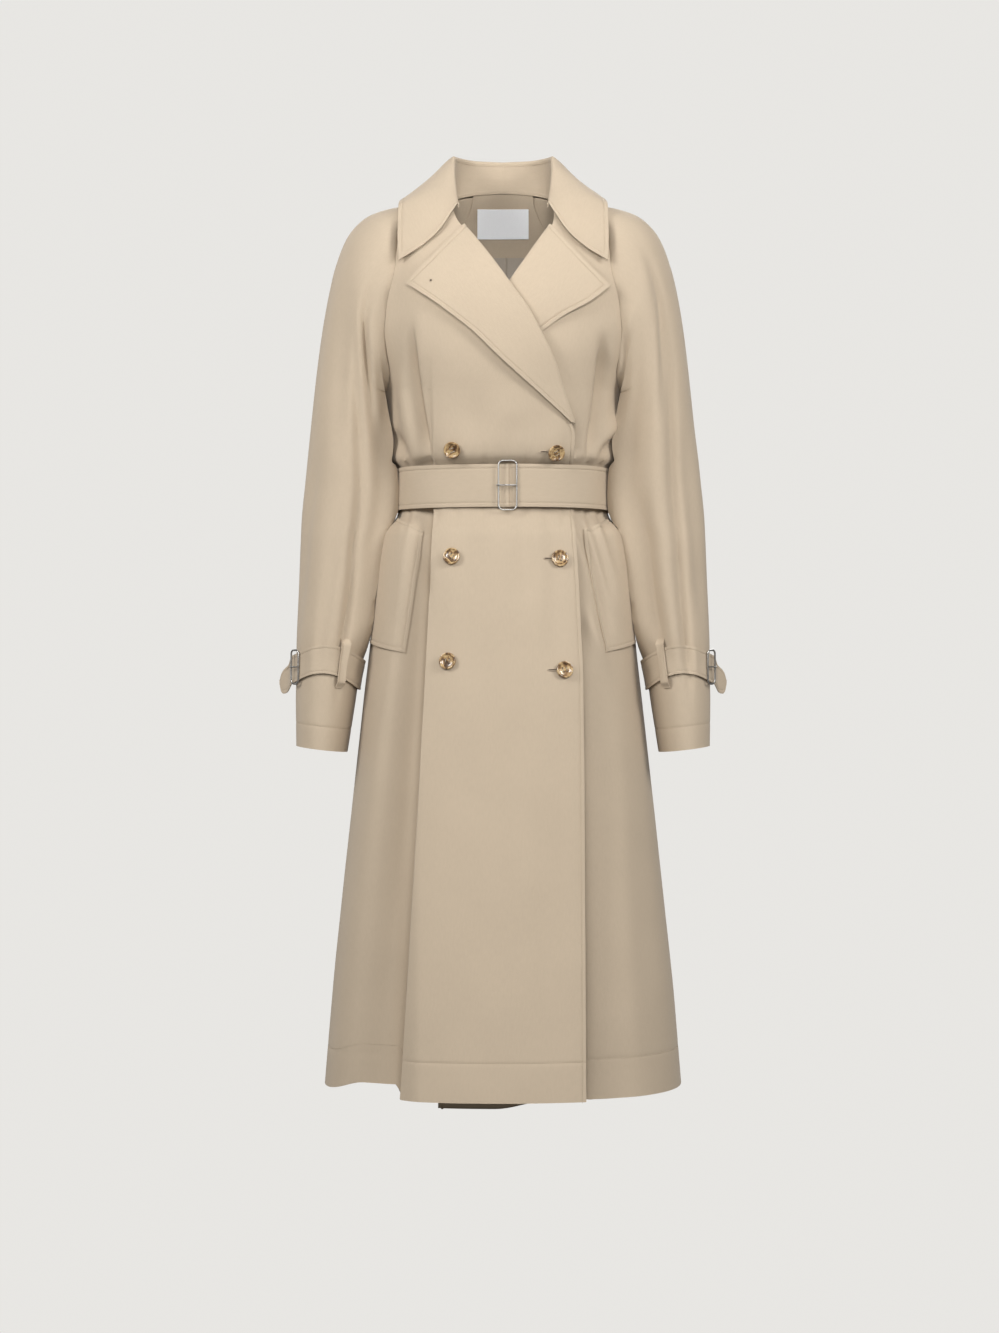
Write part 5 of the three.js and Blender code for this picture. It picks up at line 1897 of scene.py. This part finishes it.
@dataclass
class Inside:
    """What shows in the neck: the back's facing, the lining and the bare label."""

    finishes: Finishes
    stitcher: Stitcher
    facing_top_z: float = 13.2
    neck_dip: float = 3.4
    facing_low_z: float = -65.0
    lining_low_z: float = -330.0
    slack: float = 9.0
    inwards: float = 2.6
    label_width: float = 69.0
    label_height: float = 37.0
    label_top_z: float = -4.0
    pleat_x: float = 5.0

    def skin(self, wide: Callable[[Array], Array], inwards: float) -> Skin:
        """A sheet that hangs smooth inside the back.

        Args:
            wide: Half width at a height.
            inwards: Distance inside the outer cloth.

        Returns:
            The skin, over shares across and heights.
        """
        def points(across: Array, z: Array) -> Array:
            """Points of the face.

            Args:
                across: Shares of the way across.
                z: Heights.

            Returns:
                The points.
            """
            reach = mix(-wide(z), wide(z), across)
            angle = FORM.angle(reach, z, Face.BACK)
            clear = mix(inwards, inwards + self.slack, smooth_step(-z, 140, 225))
            return FORM.plain(angle, z) - FORM.outward(angle, z) * clear[..., None]

        return points

    @staticmethod
    def width(z: Array) -> Array:
        """Half width of the facing and the lining.

        Args:
            z: Heights.

        Returns:
            Half widths.
        """
        return mix(40, 96, smooth_step(-z, -12, 110))

    def lining_relief(self, at: Margins) -> Array:
        """The lining's centre pleat and slack ripples, seen from inside.

        Args:
            at: Places on the lining.

        Returns:
            Heights towards the neck.
        """
        x, z = at.points[..., 0], at.points[..., 2]
        fold = 1.5 * smooth_step(x, self.pleat_x - 0.8, self.pleat_x + 0.8)
        fold = fold * smooth_step(-x, -38, -self.pleat_x)
        ripple = 0.8 * hump(x + 34 + z * 0.05, 9) + 0.9 * hump(x - 48 - z * 0.04, 8)
        return fold - 0.7 * hump(x - self.pleat_x + 1.5, 1.6) + ripple

    def facing_skin(self, across: Array, along: Array) -> Array:
        """The facing's inner face, its top edge along the neck seam.

        Args:
            across: Shares across.
            along: Shares from the top edge down.

        Returns:
            The points.
        """
        top = self.facing_top_z - self.neck_dip * (2 * across - 1) ** 2
        z = mix(top, self.facing_low_z, along)
        return self.skin(self.width, self.inwards)(across, z)

    def build(self) -> None:
        """Make the facing, the lining and the label."""
        gap = 0.3
        facing = Cloth("coat_back_facing", self.facing_skin, np.linspace(0, 1, 60),
                       np.linspace(0, 1, 26), toward=(0, -1, 0),
                       relief=lambda at: -0.4 * hump(at.low - 3, 1.2))
        piece = ride(facing.build(self.finishes.gabardine), "gabardine", "back_facing")
        log.info("facing measures %.4f square metres", facing.area())
        lining = Cloth("coat_lining", self.skin(self.width, self.inwards), np.linspace(0, 1, 120),
                       np.linspace(self.facing_low_z - gap, self.lining_low_z, 70), toward=(0, -1, 0),
                       thick=0.8, relief=self.lining_relief)
        piece = ride(lining.build(self.finishes.lining), "lining", "lining")
        log.info("lining measures %.4f square metres", lining.area())
        label_heights = np.linspace(self.label_top_z, self.label_top_z - self.label_height, 14)
        label = Cloth("coat_label", self.skin(lambda z: self.label_width / 2, self.inwards + 2.2),
                      np.linspace(0, 1, 24), label_heights, toward=(0, -1, 0), thick=0.6,
                      relief=lambda at: 0.25 * np.sin(at.left / 11))
        piece = ride(label.build(self.finishes.label), "label", "label")
        lines = [label.line("top", 1.2, 0.02, 0.98), label.line("low", 1.2, 0.02, 0.98)]
        self.stitcher.sew("stitches_label", lines, self.finishes.label, pitch=2.2, length=1.7, radius=0.15)


# Belt


@dataclass
class Belt:
    """The belt with its loops and its buckle."""

    finishes: Finishes
    stitcher: Stitcher
    stitch: float = 5.2
    buckle_x: float = 5.6
    buckle_width: float = 25.0
    buckle_height: float = 64.0
    wire: float = 1.05
    corner: float = 6.0
    loop_width: float = 12.0
    loop_top_z: float = -352.0
    loop_low_z: float = -416.0
    loop_raised: float = 8.0

    @staticmethod
    def skin(across: Array, way: Array) -> Array:
        """The outer face of the belt, from its top edge down.

        Args:
            across: Shares of the width.
            way: Degrees round the waist.

        Returns:
            The points.
        """
        raised = BELT.read("raised", way)
        level = np.full_like(way, WAIST_Z)
        at = FORM.plain(way, level)
        ahead = unit(FORM.plain(way + 0.5, level) - FORM.plain(way - 0.5, level))
        x = at[..., 0] + ahead[..., 1] * raised
        y = at[..., 1] - ahead[..., 0] * raised
        return xyz(x, y, BELT_TOP_Z - across * BELT_WIDTH)

    def relief(self, at: Margins) -> Array:
        """Stitch grooves, slack waves and the creases at the buckle.

        Args:
            at: Places on the belt.

        Returns:
            Heights.
        """
        x, y, z = (at.points[..., k] for k in range(3))
        away = np.minimum(at.left, at.right)
        at_front = y < -60
        near = hump(x - self.buckle_x, 13) * at_front
        pinch = -1.5 * hump(x - self.buckle_x + 4.6, 1.7) - 1.2 * hump(x - self.buckle_x - 3.0, 1.6)
        pinch = pinch + 0.7 * hump(x - self.buckle_x, 2)
        slack = 0.45 * np.sin(at.top / 31) + 0.3 * np.sin(at.top / 13 + z / 19)
        return ditch(away, self.stitch, 0.5) + near * pinch + slack * (1 - near)

    def loop_skin(self, side: Side) -> Skin:
        """A belt loop at a side seam.

        Args:
            side: The wearer's side.

        Returns:
            The skin, over shares across and heights.
        """
        def points(across: Array, z: Array) -> Array:
            """Points of the face.

            Args:
                across: Shares of the way across.
                z: Heights.

            Returns:
                The points.
            """
            y = mix(-self.loop_width / 2, self.loop_width / 2, across)
            waist = BODY.read("half", WAIST_Z) + self.loop_raised
            x = np.maximum(BODY.read("half", z) + 1.5, waist)
            return xyz(side.value * x, y, z)

        return points

    def frame_path(self, width: float, height: float, corner: float) -> Array:
        """A rounded rectangle in the XZ plane.

        Args:
            width: Width to the wire's middle.
            height: Height to the wire's middle.
            corner: Corner radius.

        Returns:
            Points of the path.
        """
        points = []
        for quarter, (sx, sz) in enumerate([(1, 1), (-1, 1), (-1, -1), (1, -1)]):
            for t in np.linspace(0, 90, 7):
                turn = math.radians(quarter * 90 + t)
                points.append((sx * (width / 2 - corner) + corner * math.cos(turn), 0,
                               sz * (height / 2 - corner) + corner * math.sin(turn)))
        return np.array(points)

    def build(self) -> None:
        """Make the belt, its loops and its buckle."""
        ways = np.unique(np.concatenate([np.linspace(-86, 312, 380), np.linspace(258, 290, 60),
                                         np.linspace(-86, -78, 8)]))
        belt = Cloth("coat_belt", self.skin, np.linspace(0, 1, 20), ways, thick=TURNED,
                     insets=(self.stitch, self.stitch), relief=self.relief)
        piece = ride(belt.build(self.finishes.gabardine), "gabardine", "belt")
        log.info("belt measures %.4f square metres", belt.area())
        lines = [belt.line("left", self.stitch, 0.01, 0.99), belt.line("right", self.stitch, 0.01, 0.99)]
        self.stitcher.sew("stitches_belt", lines, self.finishes.thread)
        for side in Side:
            heights = np.linspace(self.loop_top_z, self.loop_low_z, 40)
            loop = Cloth(f"coat_belt_loop_{side.word}", self.loop_skin(side), np.linspace(0, 1, 14), heights,
                         relief=lambda at: ditch(np.minimum(at.left, at.right), 2.5, 0.35, 0.8))
            piece = ride(loop.build(self.finishes.gabardine), "gabardine", f"belt_loop_{side.word}")
        face = float(self.skin(np.array([0.0]), np.array([-86.0]))[0, 1])
        middle = BELT_TOP_Z - BELT_WIDTH / 2
        path = self.frame_path(self.buckle_width - 2 * self.wire, self.buckle_height - 2 * self.wire,
                               self.corner)
        path = path + np.array([self.buckle_x, face - 0.8 - self.wire, middle])
        wire = tube("belt_buckle_wire", path, self.wire, self.finishes.steel, 16, True)
        ride(wire, "steel", "belt_buckle")
        left, right = self.buckle_x - 1.5 - 12.5, self.buckle_x - 1.5 + 12.5
        y = face - 0.8 - 2 * self.wire - 1.3
        line = np.array([(left, y + 0.6, middle), (left + 4, y, middle),
                         (right - 5, y, middle), (right, y + 0.3, middle)])
        prong = tube("belt_buckle_prong", line, 0.95, self.finishes.steel, 12)
        ride(prong, "steel", "belt_prong")


# Pockets and cuffs


@dataclass
class Pockets:
    """The slanted welts of the side pockets."""

    finishes: Finishes
    stitcher: Stitcher
    raised: float = 3.8
    stitch: float = 5.0
    top_z: float = -424.0
    low_z: float = -582.0

    def skin(self, side: Side) -> Skin:
        """The outer face of a welt, from its front line to its opening.

        Args:
            side: The wearer's side.

        Returns:
            The skin, over shares across and heights.
        """
        def points(across: Array, along: Array) -> Array:
            """Points of the face.

            Args:
                across: Shares of the way across.
                along: Places along.

            Returns:
                The points.
            """
            z = along - WELT_SLOPE * (1 - across)
            front = FORM.angle(WELT.read("front_x", along), z, Face.FRONT)
            reach = WELT.read("open_share", along) * BODY.read("half", z)
            angle = mix(front, FORM.angle(reach, z, Face.FRONT), across)
            over = mix(self.raised * 0.55, self.raised, smooth_step(across, 0, 0.5))
            if side is Side.LEFT:
                return FORM.point(angle, z, over)
            turned = -180 - angle
            return FORM.point(turned, z, over + FORM.lift(FORM.plain(turned, z)[..., 0], z))

        return points

    def relief(self, at: Margins) -> Array:
        """Grooves round the welt.

        Args:
            at: Places on the welt.

        Returns:
            Heights.
        """
        away = np.minimum(np.minimum(at.left, at.low), at.top)
        return ditch(away, self.stitch, 0.5)

    def build(self) -> None:
        """Make both welts."""
        ends = np.concatenate([np.arange(0, 9, 0.9), [9.6]])
        heights = np.concatenate([self.top_z - ends, np.linspace(self.top_z - 12, self.low_z + 12, 44),
                                  (self.low_z + ends)[::-1]])
        for side in Side:
            welt = Cloth(f"coat_pocket_welt_{side.word}", self.skin(side), np.linspace(0, 1, 26), heights,
                         thick=TURNED, insets=(self.stitch, 0), relief=self.relief)
            piece = ride(welt.build(self.finishes.gabardine), "gabardine", f"pocket_welt_{side.word}")
            log.info("welt %s measures %.4f square metres", side.word, welt.area())
            lines = [welt.line("left", self.stitch, 0.04, 0.96), welt.line("low", self.stitch, 0.08, 0.95),
                     welt.line("top", self.stitch, 0.08, 0.95)]
            self.stitcher.sew(f"stitches_welt_{side.word}", lines, self.finishes.thread)


@dataclass
class Cuffs:
    """The straps round the cuffs, with their loops and buckles."""

    finishes: Finishes
    stitcher: Stitcher
    sleeves: Sleeves
    loop_width: float = 12.5
    loop_turn: float = -118.0
    loop_height: float = 62.0
    loop_raised: float = 7.4
    loop_ramp: float = 8.0
    buckle_turn: float = -34.0
    buckle_raised: float = 7.2
    buckle_yaw: float = 48.0
    buckle_width: float = 17.0
    buckle_height: float = 45.0
    wire: float = 1.15
    corner: float = 4.5
    stitch: float = 4.0
    tail_droop: float = 16.0

    def strap_skin(self, side: Side) -> Skin:
        """The outer face of a strap.

        Args:
            side: The wearer's side.

        Returns:
            The skin, over shares across and degrees round the sleeve.
        """
        def points(across: Array, way: Array) -> Array:
            """Points of the face.

            Args:
                across: Shares of the way across.
                way: Places along the strap.

            Returns:
                The points.
            """
            z = strap_z(way) + CUFF_STRAP.read("half", way) * (1 - 2 * across)
            z = z - self.tail_droop * smooth_step(way, 338, 371)
            at = self.sleeves.tube(side, way, z, CUFF_STRAP.read("raised", way))
            return at * np.array([side.value, 1, 1])

        return points

    def loop_skin(self, side: Side) -> Skin:
        """The outer face of a loop over the strap.

        Args:
            side: The wearer's side.

        Returns:
            The skin, over shares across and heights.
        """
        def points(across: Array, z: Array) -> Array:
            """Points of the face.

            Args:
                across: Shares of the way across.
                z: Heights.

            Returns:
                The points.
            """
            from_end = self.loop_height / 2 - np.abs(z - strap_z(self.loop_turn))
            over = mix(2.0, self.loop_raised, smooth_step(from_end, 0, self.loop_ramp))
            turn = self.loop_turn + (0.5 - across) * self.loop_width
            return self.sleeves.tube(side, turn, z, over) * np.array([side.value, 1, 1])

        return points

    def buckle(self, side: Side, belt: Belt) -> None:
        """Make a cuff's buckle.

        Args:
            side: The wearer's side.
            belt: The belt, for the shape of its frame.
        """
        spot = self.sleeves.tube(side, np.array([self.buckle_turn]), strap_z(np.array([self.buckle_turn])),
                                 np.array([self.buckle_raised]))[0] * np.array([side.value, 1, 1])
        yaw = side.value * math.radians(self.buckle_yaw)
        turn = np.array([[math.cos(yaw), -math.sin(yaw), 0], [math.sin(yaw), math.cos(yaw), 0], [0, 0, 1]])
        path = belt.frame_path(self.buckle_width - 2 * self.wire, self.buckle_height - 2 * self.wire,
                               self.corner)
        path = (path - np.array([0, self.wire, 0])) @ turn.T + spot
        ride(tube(f"cuff_buckle_wire_{side.word}", path, self.wire, self.finishes.steel, 12, True), "steel",
             f"cuff_buckle_{side.word}")
        reach = self.buckle_width / 2
        bar = np.array([(-reach, -2.2 * self.wire, 0), (0, -2.9 * self.wire, 0),
                        (reach, -2.2 * self.wire, 0)])
        name = f"cuff_buckle_prong_{side.word}"
        ride(tube(name, bar @ turn.T + spot, 0.9, self.finishes.steel, 10), "steel")

    def build(self, belt: Belt) -> None:
        """Make the straps, loops and buckles.

        Args:
            belt: The belt, for the shape of its frame.
        """
        ways = np.concatenate([np.linspace(2, 340, 170)[:-1], np.linspace(340, 371, 40)])
        for side in Side:
            strap = Cloth(f"coat_cuff_strap_{side.word}", self.strap_skin(side), np.linspace(0, 1, 14), ways,
                          centre_x=side.value * 222, insets=(self.stitch, self.stitch),
                          relief=lambda at: ditch(np.minimum(at.left, at.right), self.stitch, 0.4))
            piece = ride(strap.build(self.finishes.gabardine), "gabardine", f"cuff_strap_{side.word}")
            log.info("strap %s measures %.4f square metres", side.word, strap.area())
            lines = [strap.line(edge, self.stitch, 0.01, 0.93) for edge in ("left", "right")]
            self.stitcher.sew(f"stitches_strap_{side.word}", lines, self.finishes.thread)
            middle = float(strap_z(self.loop_turn))
            heights = np.linspace(middle + self.loop_height / 2, middle - self.loop_height / 2, 50)
            loop = Cloth(f"coat_cuff_loop_{side.word}", self.loop_skin(side), np.linspace(0, 1, 12), heights,
                         centre_x=side.value * 222,
                         relief=lambda at: ditch(np.minimum(at.left, at.right), 2.4, 0.35, 0.8))
            piece = ride(loop.build(self.finishes.gabardine), "gabardine", f"cuff_loop_{side.word}")
            self.buckle(side, belt)


# Buttons


@dataclass
class Buttons:
    """The six buttons with their threads and buttonholes."""

    finishes: Finishes
    diameter: float = 21.5
    thickness: float = 4.0
    hole: float = 1.15
    hole_place: float = 2.3
    seats: tuple = ((-62.5, -339), (65, -342), (-63, -475), (70, -477), (-67, -606), (74, -617))
    hole_length: float = 13.0

    def pattern(self) -> bpy.types.Mesh:
        """One button in its own frame, its face up, with four holes cut through.

        Returns:
            The mesh, in millimetres.
        """
        radius, thick = self.diameter / 2, self.thickness
        profile = [(0, 0), (0.6, 0), (0.82, 0.08), (0.95, 0.28), (1.0, 0.5), (0.985, 0.78), (0.94, 0.96),
                   (0.88, 1.0), (0.81, 0.97), (0.75, 0.84), (0.7, 0.66), (0.66, 0.6), (0.3, 0.55), (0, 0.54)]
        work = bmesh.new()
        sides = 56
        rings = []
        for r, h in profile:
            if r == 0:
                rings.append([work.verts.new((0, 0, h * thick))])
                continue
            turns = [2 * math.pi * k / sides for k in range(sides)]
            rings.append([work.verts.new((radius * r * math.cos(t), radius * r * math.sin(t), h * thick))
                          for t in turns])
        for low, high in zip(rings, rings[1:]):
            for k in range(sides):
                corners = [low[k % len(low)], low[(k + 1) % len(low)],
                           high[(k + 1) % len(high)], high[k % len(high)]]
                kept = [v for n, v in enumerate(corners) if v not in corners[:n]]
                work.faces.new(kept)
        bmesh.ops.recalc_face_normals(work, faces=work.faces)
        mesh = bpy.data.meshes.new("button_pattern")
        work.to_mesh(mesh)
        work.free()
        body = bpy.data.objects.new("button_pattern", mesh)
        bpy.context.collection.objects.link(body)
        drill = bmesh.new()
        for sx, sy in ((1, 1), (-1, 1), (-1, -1), (1, -1)):
            spot = Matrix.Translation((sx * self.hole_place, sy * self.hole_place, thick / 2))
            bmesh.ops.create_cone(drill, cap_ends=True, segments=16, radius1=self.hole, radius2=self.hole,
                                  depth=thick * 3, matrix=spot)
        drill_mesh = bpy.data.meshes.new("button_drill")
        drill.to_mesh(drill_mesh)
        drill.free()
        cutter = bpy.data.objects.new("button_drill", drill_mesh)
        bpy.context.collection.objects.link(cutter)
        cut = body.modifiers.new("holes", "BOOLEAN")
        cut.operation, cut.object, cut.solver = "DIFFERENCE", cutter, "EXACT"
        bpy.context.view_layer.update()
        done = bpy.data.meshes.new_from_object(body.evaluated_get(bpy.context.evaluated_depsgraph_get()))
        body.modifiers.clear()
        bpy.data.objects.remove(body)
        bpy.data.objects.remove(cutter)
        return done

    def frame_at(self, x: float, z: float) -> tuple[Array, Array, Array, Array]:
        """Where a button sits, with its own three axes.

        Args:
            x: Place across.
            z: Height.

        Returns:
            The seat on the cloth, and the right, up and outward directions.
        """
        spot = FORM.front(np.array([x]), np.array([z]), 0.0, True)[0]
        beside = FORM.front(np.array([x + 6.0, x - 6.0]), np.array([z, z]), 0.0, True)
        above = FORM.front(np.array([x, x]), np.array([z + 6.0, z - 6.0]), 0.0, True)
        right = unit(beside[0] - beside[1])
        up = unit(above[0] - above[1])
        out = unit(np.cross(right, up))
        up = np.cross(out, right)
        if out[1] > 0:
            out = -out
        return spot, right, up, out

    def build(self) -> None:
        """Make the buttons, their threads, and the buttonholes of the viewer's right row."""
        pattern = self.pattern()
        for number, (x, z) in enumerate(self.seats, 1):
            spot, right, up, out = self.frame_at(x, z)
            seat = spot + out * 1.6
            axes = np.column_stack([right, up, out])
            spin = math.radians(17 * number)
            c, s = math.cos(spin), math.sin(spin)
            twist = np.array([[c, -s, 0], [s, c, 0], [0, 0, 1]])
            axes = axes @ twist
            place = Matrix([[*(axes[k] * MM), seat[k] * MM] for k in range(3)] + [[0, 0, 0, 1]])
            mesh = pattern.copy()
            mesh.transform(place)
            mesh.materials.clear()
            mesh.materials.append(self.finishes.horn)
            mesh.polygons.foreach_set("use_smooth", [True] * len(mesh.polygons))
            mesh.set_sharp_from_angle(angle=math.radians(35))
            made = bpy.data.objects.new(f"horn_button_{number}", mesh)
            bpy.context.collection.objects.link(made)
            outwards(made)
            ride(made, "horn", f"button_{number}")
            for bar in (-1, 1):
                reach, row = self.hole_place, bar * self.hole_place
                height = self.thickness * 0.56
                local = np.array([(-reach, row, height - 2.4), (-reach, row, height + 0.2),
                                  (0, row, height + 0.65), (reach, row, height + 0.2),
                                  (reach, row, height - 2.4)])
                name = f"button_thread_{number}_{'a' if bar < 0 else 'b'}"
                ride(tube(name, local @ axes.T + seat, 0.5, self.finishes.thread, 8), "gabardine")
            shank = np.array([(0, 0, -2.2), (0, 0, 0.6)]) @ axes.T + seat
            ride(tube(f"button_shank_{number}", shank, 2.2, self.finishes.thread, 12), "gabardine")
            if x > 0:
                self.buttonhole(number, x - self.diameter / 2 + 4, z, True)

    def buttonhole(self, number: int, x: float, z: float, lifted: bool) -> None:
        """A worked buttonhole that ends under a button.

        Args:
            number: Number of the button.
            x: Place across of its end at the button.
            z: Height.
            lifted: True on the upper front.
        """
        turns = np.linspace(0, 2 * math.pi, 28, endpoint=False)
        half = self.hole_length / 2
        middle = x - half
        eye = 0.5 * np.clip(-np.cos(turns), 0, 1)
        across = middle + np.cos(turns) * half
        high = z + np.sin(turns) * (1.25 + eye)
        rim = FORM.front(across, high, 0.45, lifted)
        ride(tube(f"buttonhole_{number}", rim, 0.62, self.finishes.thread, 8, True), "gabardine")
        # a dark tube along the cut: painted shade inside the slit
        xs = np.linspace(middle - half + 1, middle + half - 1, 12)
        slit_shade = FORM.front(xs, np.full_like(xs, z), 0.1, lifted)
        ride(tube(f"buttonhole_slit_{number}", slit_shade, 0.5, self.finishes.slit_shade, 8), "gabardine")


# Studio


@dataclass(frozen=True)
class Softbox:
    """A soft light: place and size in metres, power in watts."""

    name: str
    place: tuple[float, float, float]
    size: tuple[float, float]
    power: float


SOFTBOXES = (
    Softbox("left", (-2.0, -1.8, 0.8), (0.9, 1.0), 50),
    Softbox("right", (2.0, -1.7, 0.7), (0.9, 1.0), 44),
    Softbox("front", (0.1, -3.0, 0.35), (0.8, 0.7), 43),
    Softbox("back", (0.2, 3.2, 0.8), (1.4, 1.2), 70),
    Softbox("top", (0.1, 0.3, 2.2), (1.8, 1.4), 16),
    Softbox("back_left", (-2.2, 1.8, 0.2), (1.2, 2.0), 16),
)


@dataclass
class Studio:
    """The pale room, its soft lights and the camera."""

    backdrop: tuple[float, float, float] = (0.806, 0.794, 0.768)
    floor_z: float = -1.62
    camera_place: tuple[float, float, float] = (-0.0046, -3.5, -0.612)
    view_degrees: float = 27.81
    ambient: float = 0.21
    aim: tuple[float, float, float] = (0, 0, -0.35)
    neck_place: tuple[float, float, float] = (0, -3.0, 0.1)
    neck_aim: tuple[float, float, float] = (0, 0.08, -0.045)
    neck_power: float = 300
    neck_degrees: float = 3.6
    neck_blend: float = 0.9
    neck_softness: float = 0.15

    def backing(self, name: str, mesh: bpy.types.Mesh) -> None:
        """Place a pale surface that only the eye sees.

        Args:
            name: Name of the object.
            mesh: Its mesh.
        """
        sheet = Shading(name)
        glow = sheet.add("ShaderNodeEmission")
        glow.inputs["Color"].default_value = (*self.backdrop, 1)
        sheet.join(glow.outputs["Emission"], sheet.tree.nodes["Material Output"].inputs["Surface"])
        mesh.materials.append(sheet.material)
        made = bpy.data.objects.new(name, mesh)
        bpy.context.collection.objects.link(made)
        made.visible_diffuse = made.visible_glossy = made.visible_shadow = False

    @staticmethod
    def aimed(lamp: bpy.types.Light, place: tuple[float, float, float],
              target: tuple[float, float, float]) -> None:
        """Stand a light somewhere and turn it to a target.

        Args:
            lamp: The light.
            place: Where it stands, in metres.
            target: What it looks at, in metres.
        """
        made = bpy.data.objects.new(lamp.name, lamp)
        made.location = place
        made.rotation_mode = "QUATERNION"
        made.rotation_quaternion = (Vector(target) - made.location).to_track_quat("-Z", "Y")
        bpy.context.collection.objects.link(made)

    def softbox(self, box: Softbox) -> None:
        """Add a soft rectangular light that looks at the coat.

        Args:
            box: Its name, place, size and power.
        """
        lamp = bpy.data.lights.new(box.name, "AREA")
        lamp.shape = "RECTANGLE"
        lamp.size, lamp.size_y = box.size
        lamp.energy = box.power
        self.aimed(lamp, box.place, self.aim)

    def neck_light(self) -> None:
        """Add the narrow light that reaches into the neck."""
        lamp = bpy.data.lights.new("neck", "SPOT")
        lamp.energy = self.neck_power
        lamp.spot_size = math.radians(self.neck_degrees)
        lamp.spot_blend = self.neck_blend
        lamp.shadow_soft_size = self.neck_softness
        self.aimed(lamp, self.neck_place, self.neck_aim)

    def build(self) -> None:
        """Make the room, the lights and the camera."""
        shell = bmesh.new()
        bmesh.ops.create_uvsphere(shell, u_segments=48, v_segments=24, radius=30)
        sphere = bpy.data.meshes.new("backdrop")
        shell.to_mesh(sphere)
        shell.free()
        self.backing("backdrop", sphere)
        ground = bmesh.new()
        bmesh.ops.create_circle(ground, cap_ends=True, segments=64, radius=28,
                                matrix=Matrix.Translation((0, 0, self.floor_z)))
        floor = bpy.data.meshes.new("floor")
        ground.to_mesh(floor)
        ground.free()
        self.backing("floor", floor)
        world = bpy.data.worlds.new("room")
        world.use_nodes = True
        world.node_tree.nodes["Background"].inputs["Color"].default_value = (1.0, 0.99, 0.97, 1)
        world.node_tree.nodes["Background"].inputs["Strength"].default_value = self.ambient
        bpy.context.scene.world = world
        for box in SOFTBOXES:
            self.softbox(box)
        self.neck_light()
        data = bpy.data.cameras.new("camera")
        data.sensor_width = 36
        data.lens = 18 / math.tan(math.radians(self.view_degrees / 2))
        data.clip_start, data.clip_end = 0.05, 100
        camera = bpy.data.objects.new("camera", data)
        camera.location = self.camera_place
        camera.rotation_euler = (math.radians(90), 0, 0)
        bpy.context.collection.objects.link(camera)
        scene = bpy.context.scene
        scene.camera = camera
        scene.view_settings.view_transform = "Standard"
        scene.view_settings.look = "None"


def main() -> None:
    """Build the coat piece by piece."""
    logging.basicConfig(level=logging.INFO, format="%(message)s")
    finishes = Finishes()
    stitcher = Stitcher()
    Panels(finishes, stitcher).build()
    sleeves = Sleeves(finishes, stitcher)
    sleeves.build()
    Lapels(finishes, stitcher).build()
    Collar(finishes, stitcher).build()
    Inside(finishes, stitcher).build()
    belt = Belt(finishes, stitcher)
    belt.build()
    Pockets(finishes, stitcher).build()
    Cuffs(finishes, stitcher, sleeves).build(belt)
    Buttons(finishes).build()
    Studio().build()
    bpy.context.view_layer.update()


if __name__ == "__main__":
    main()
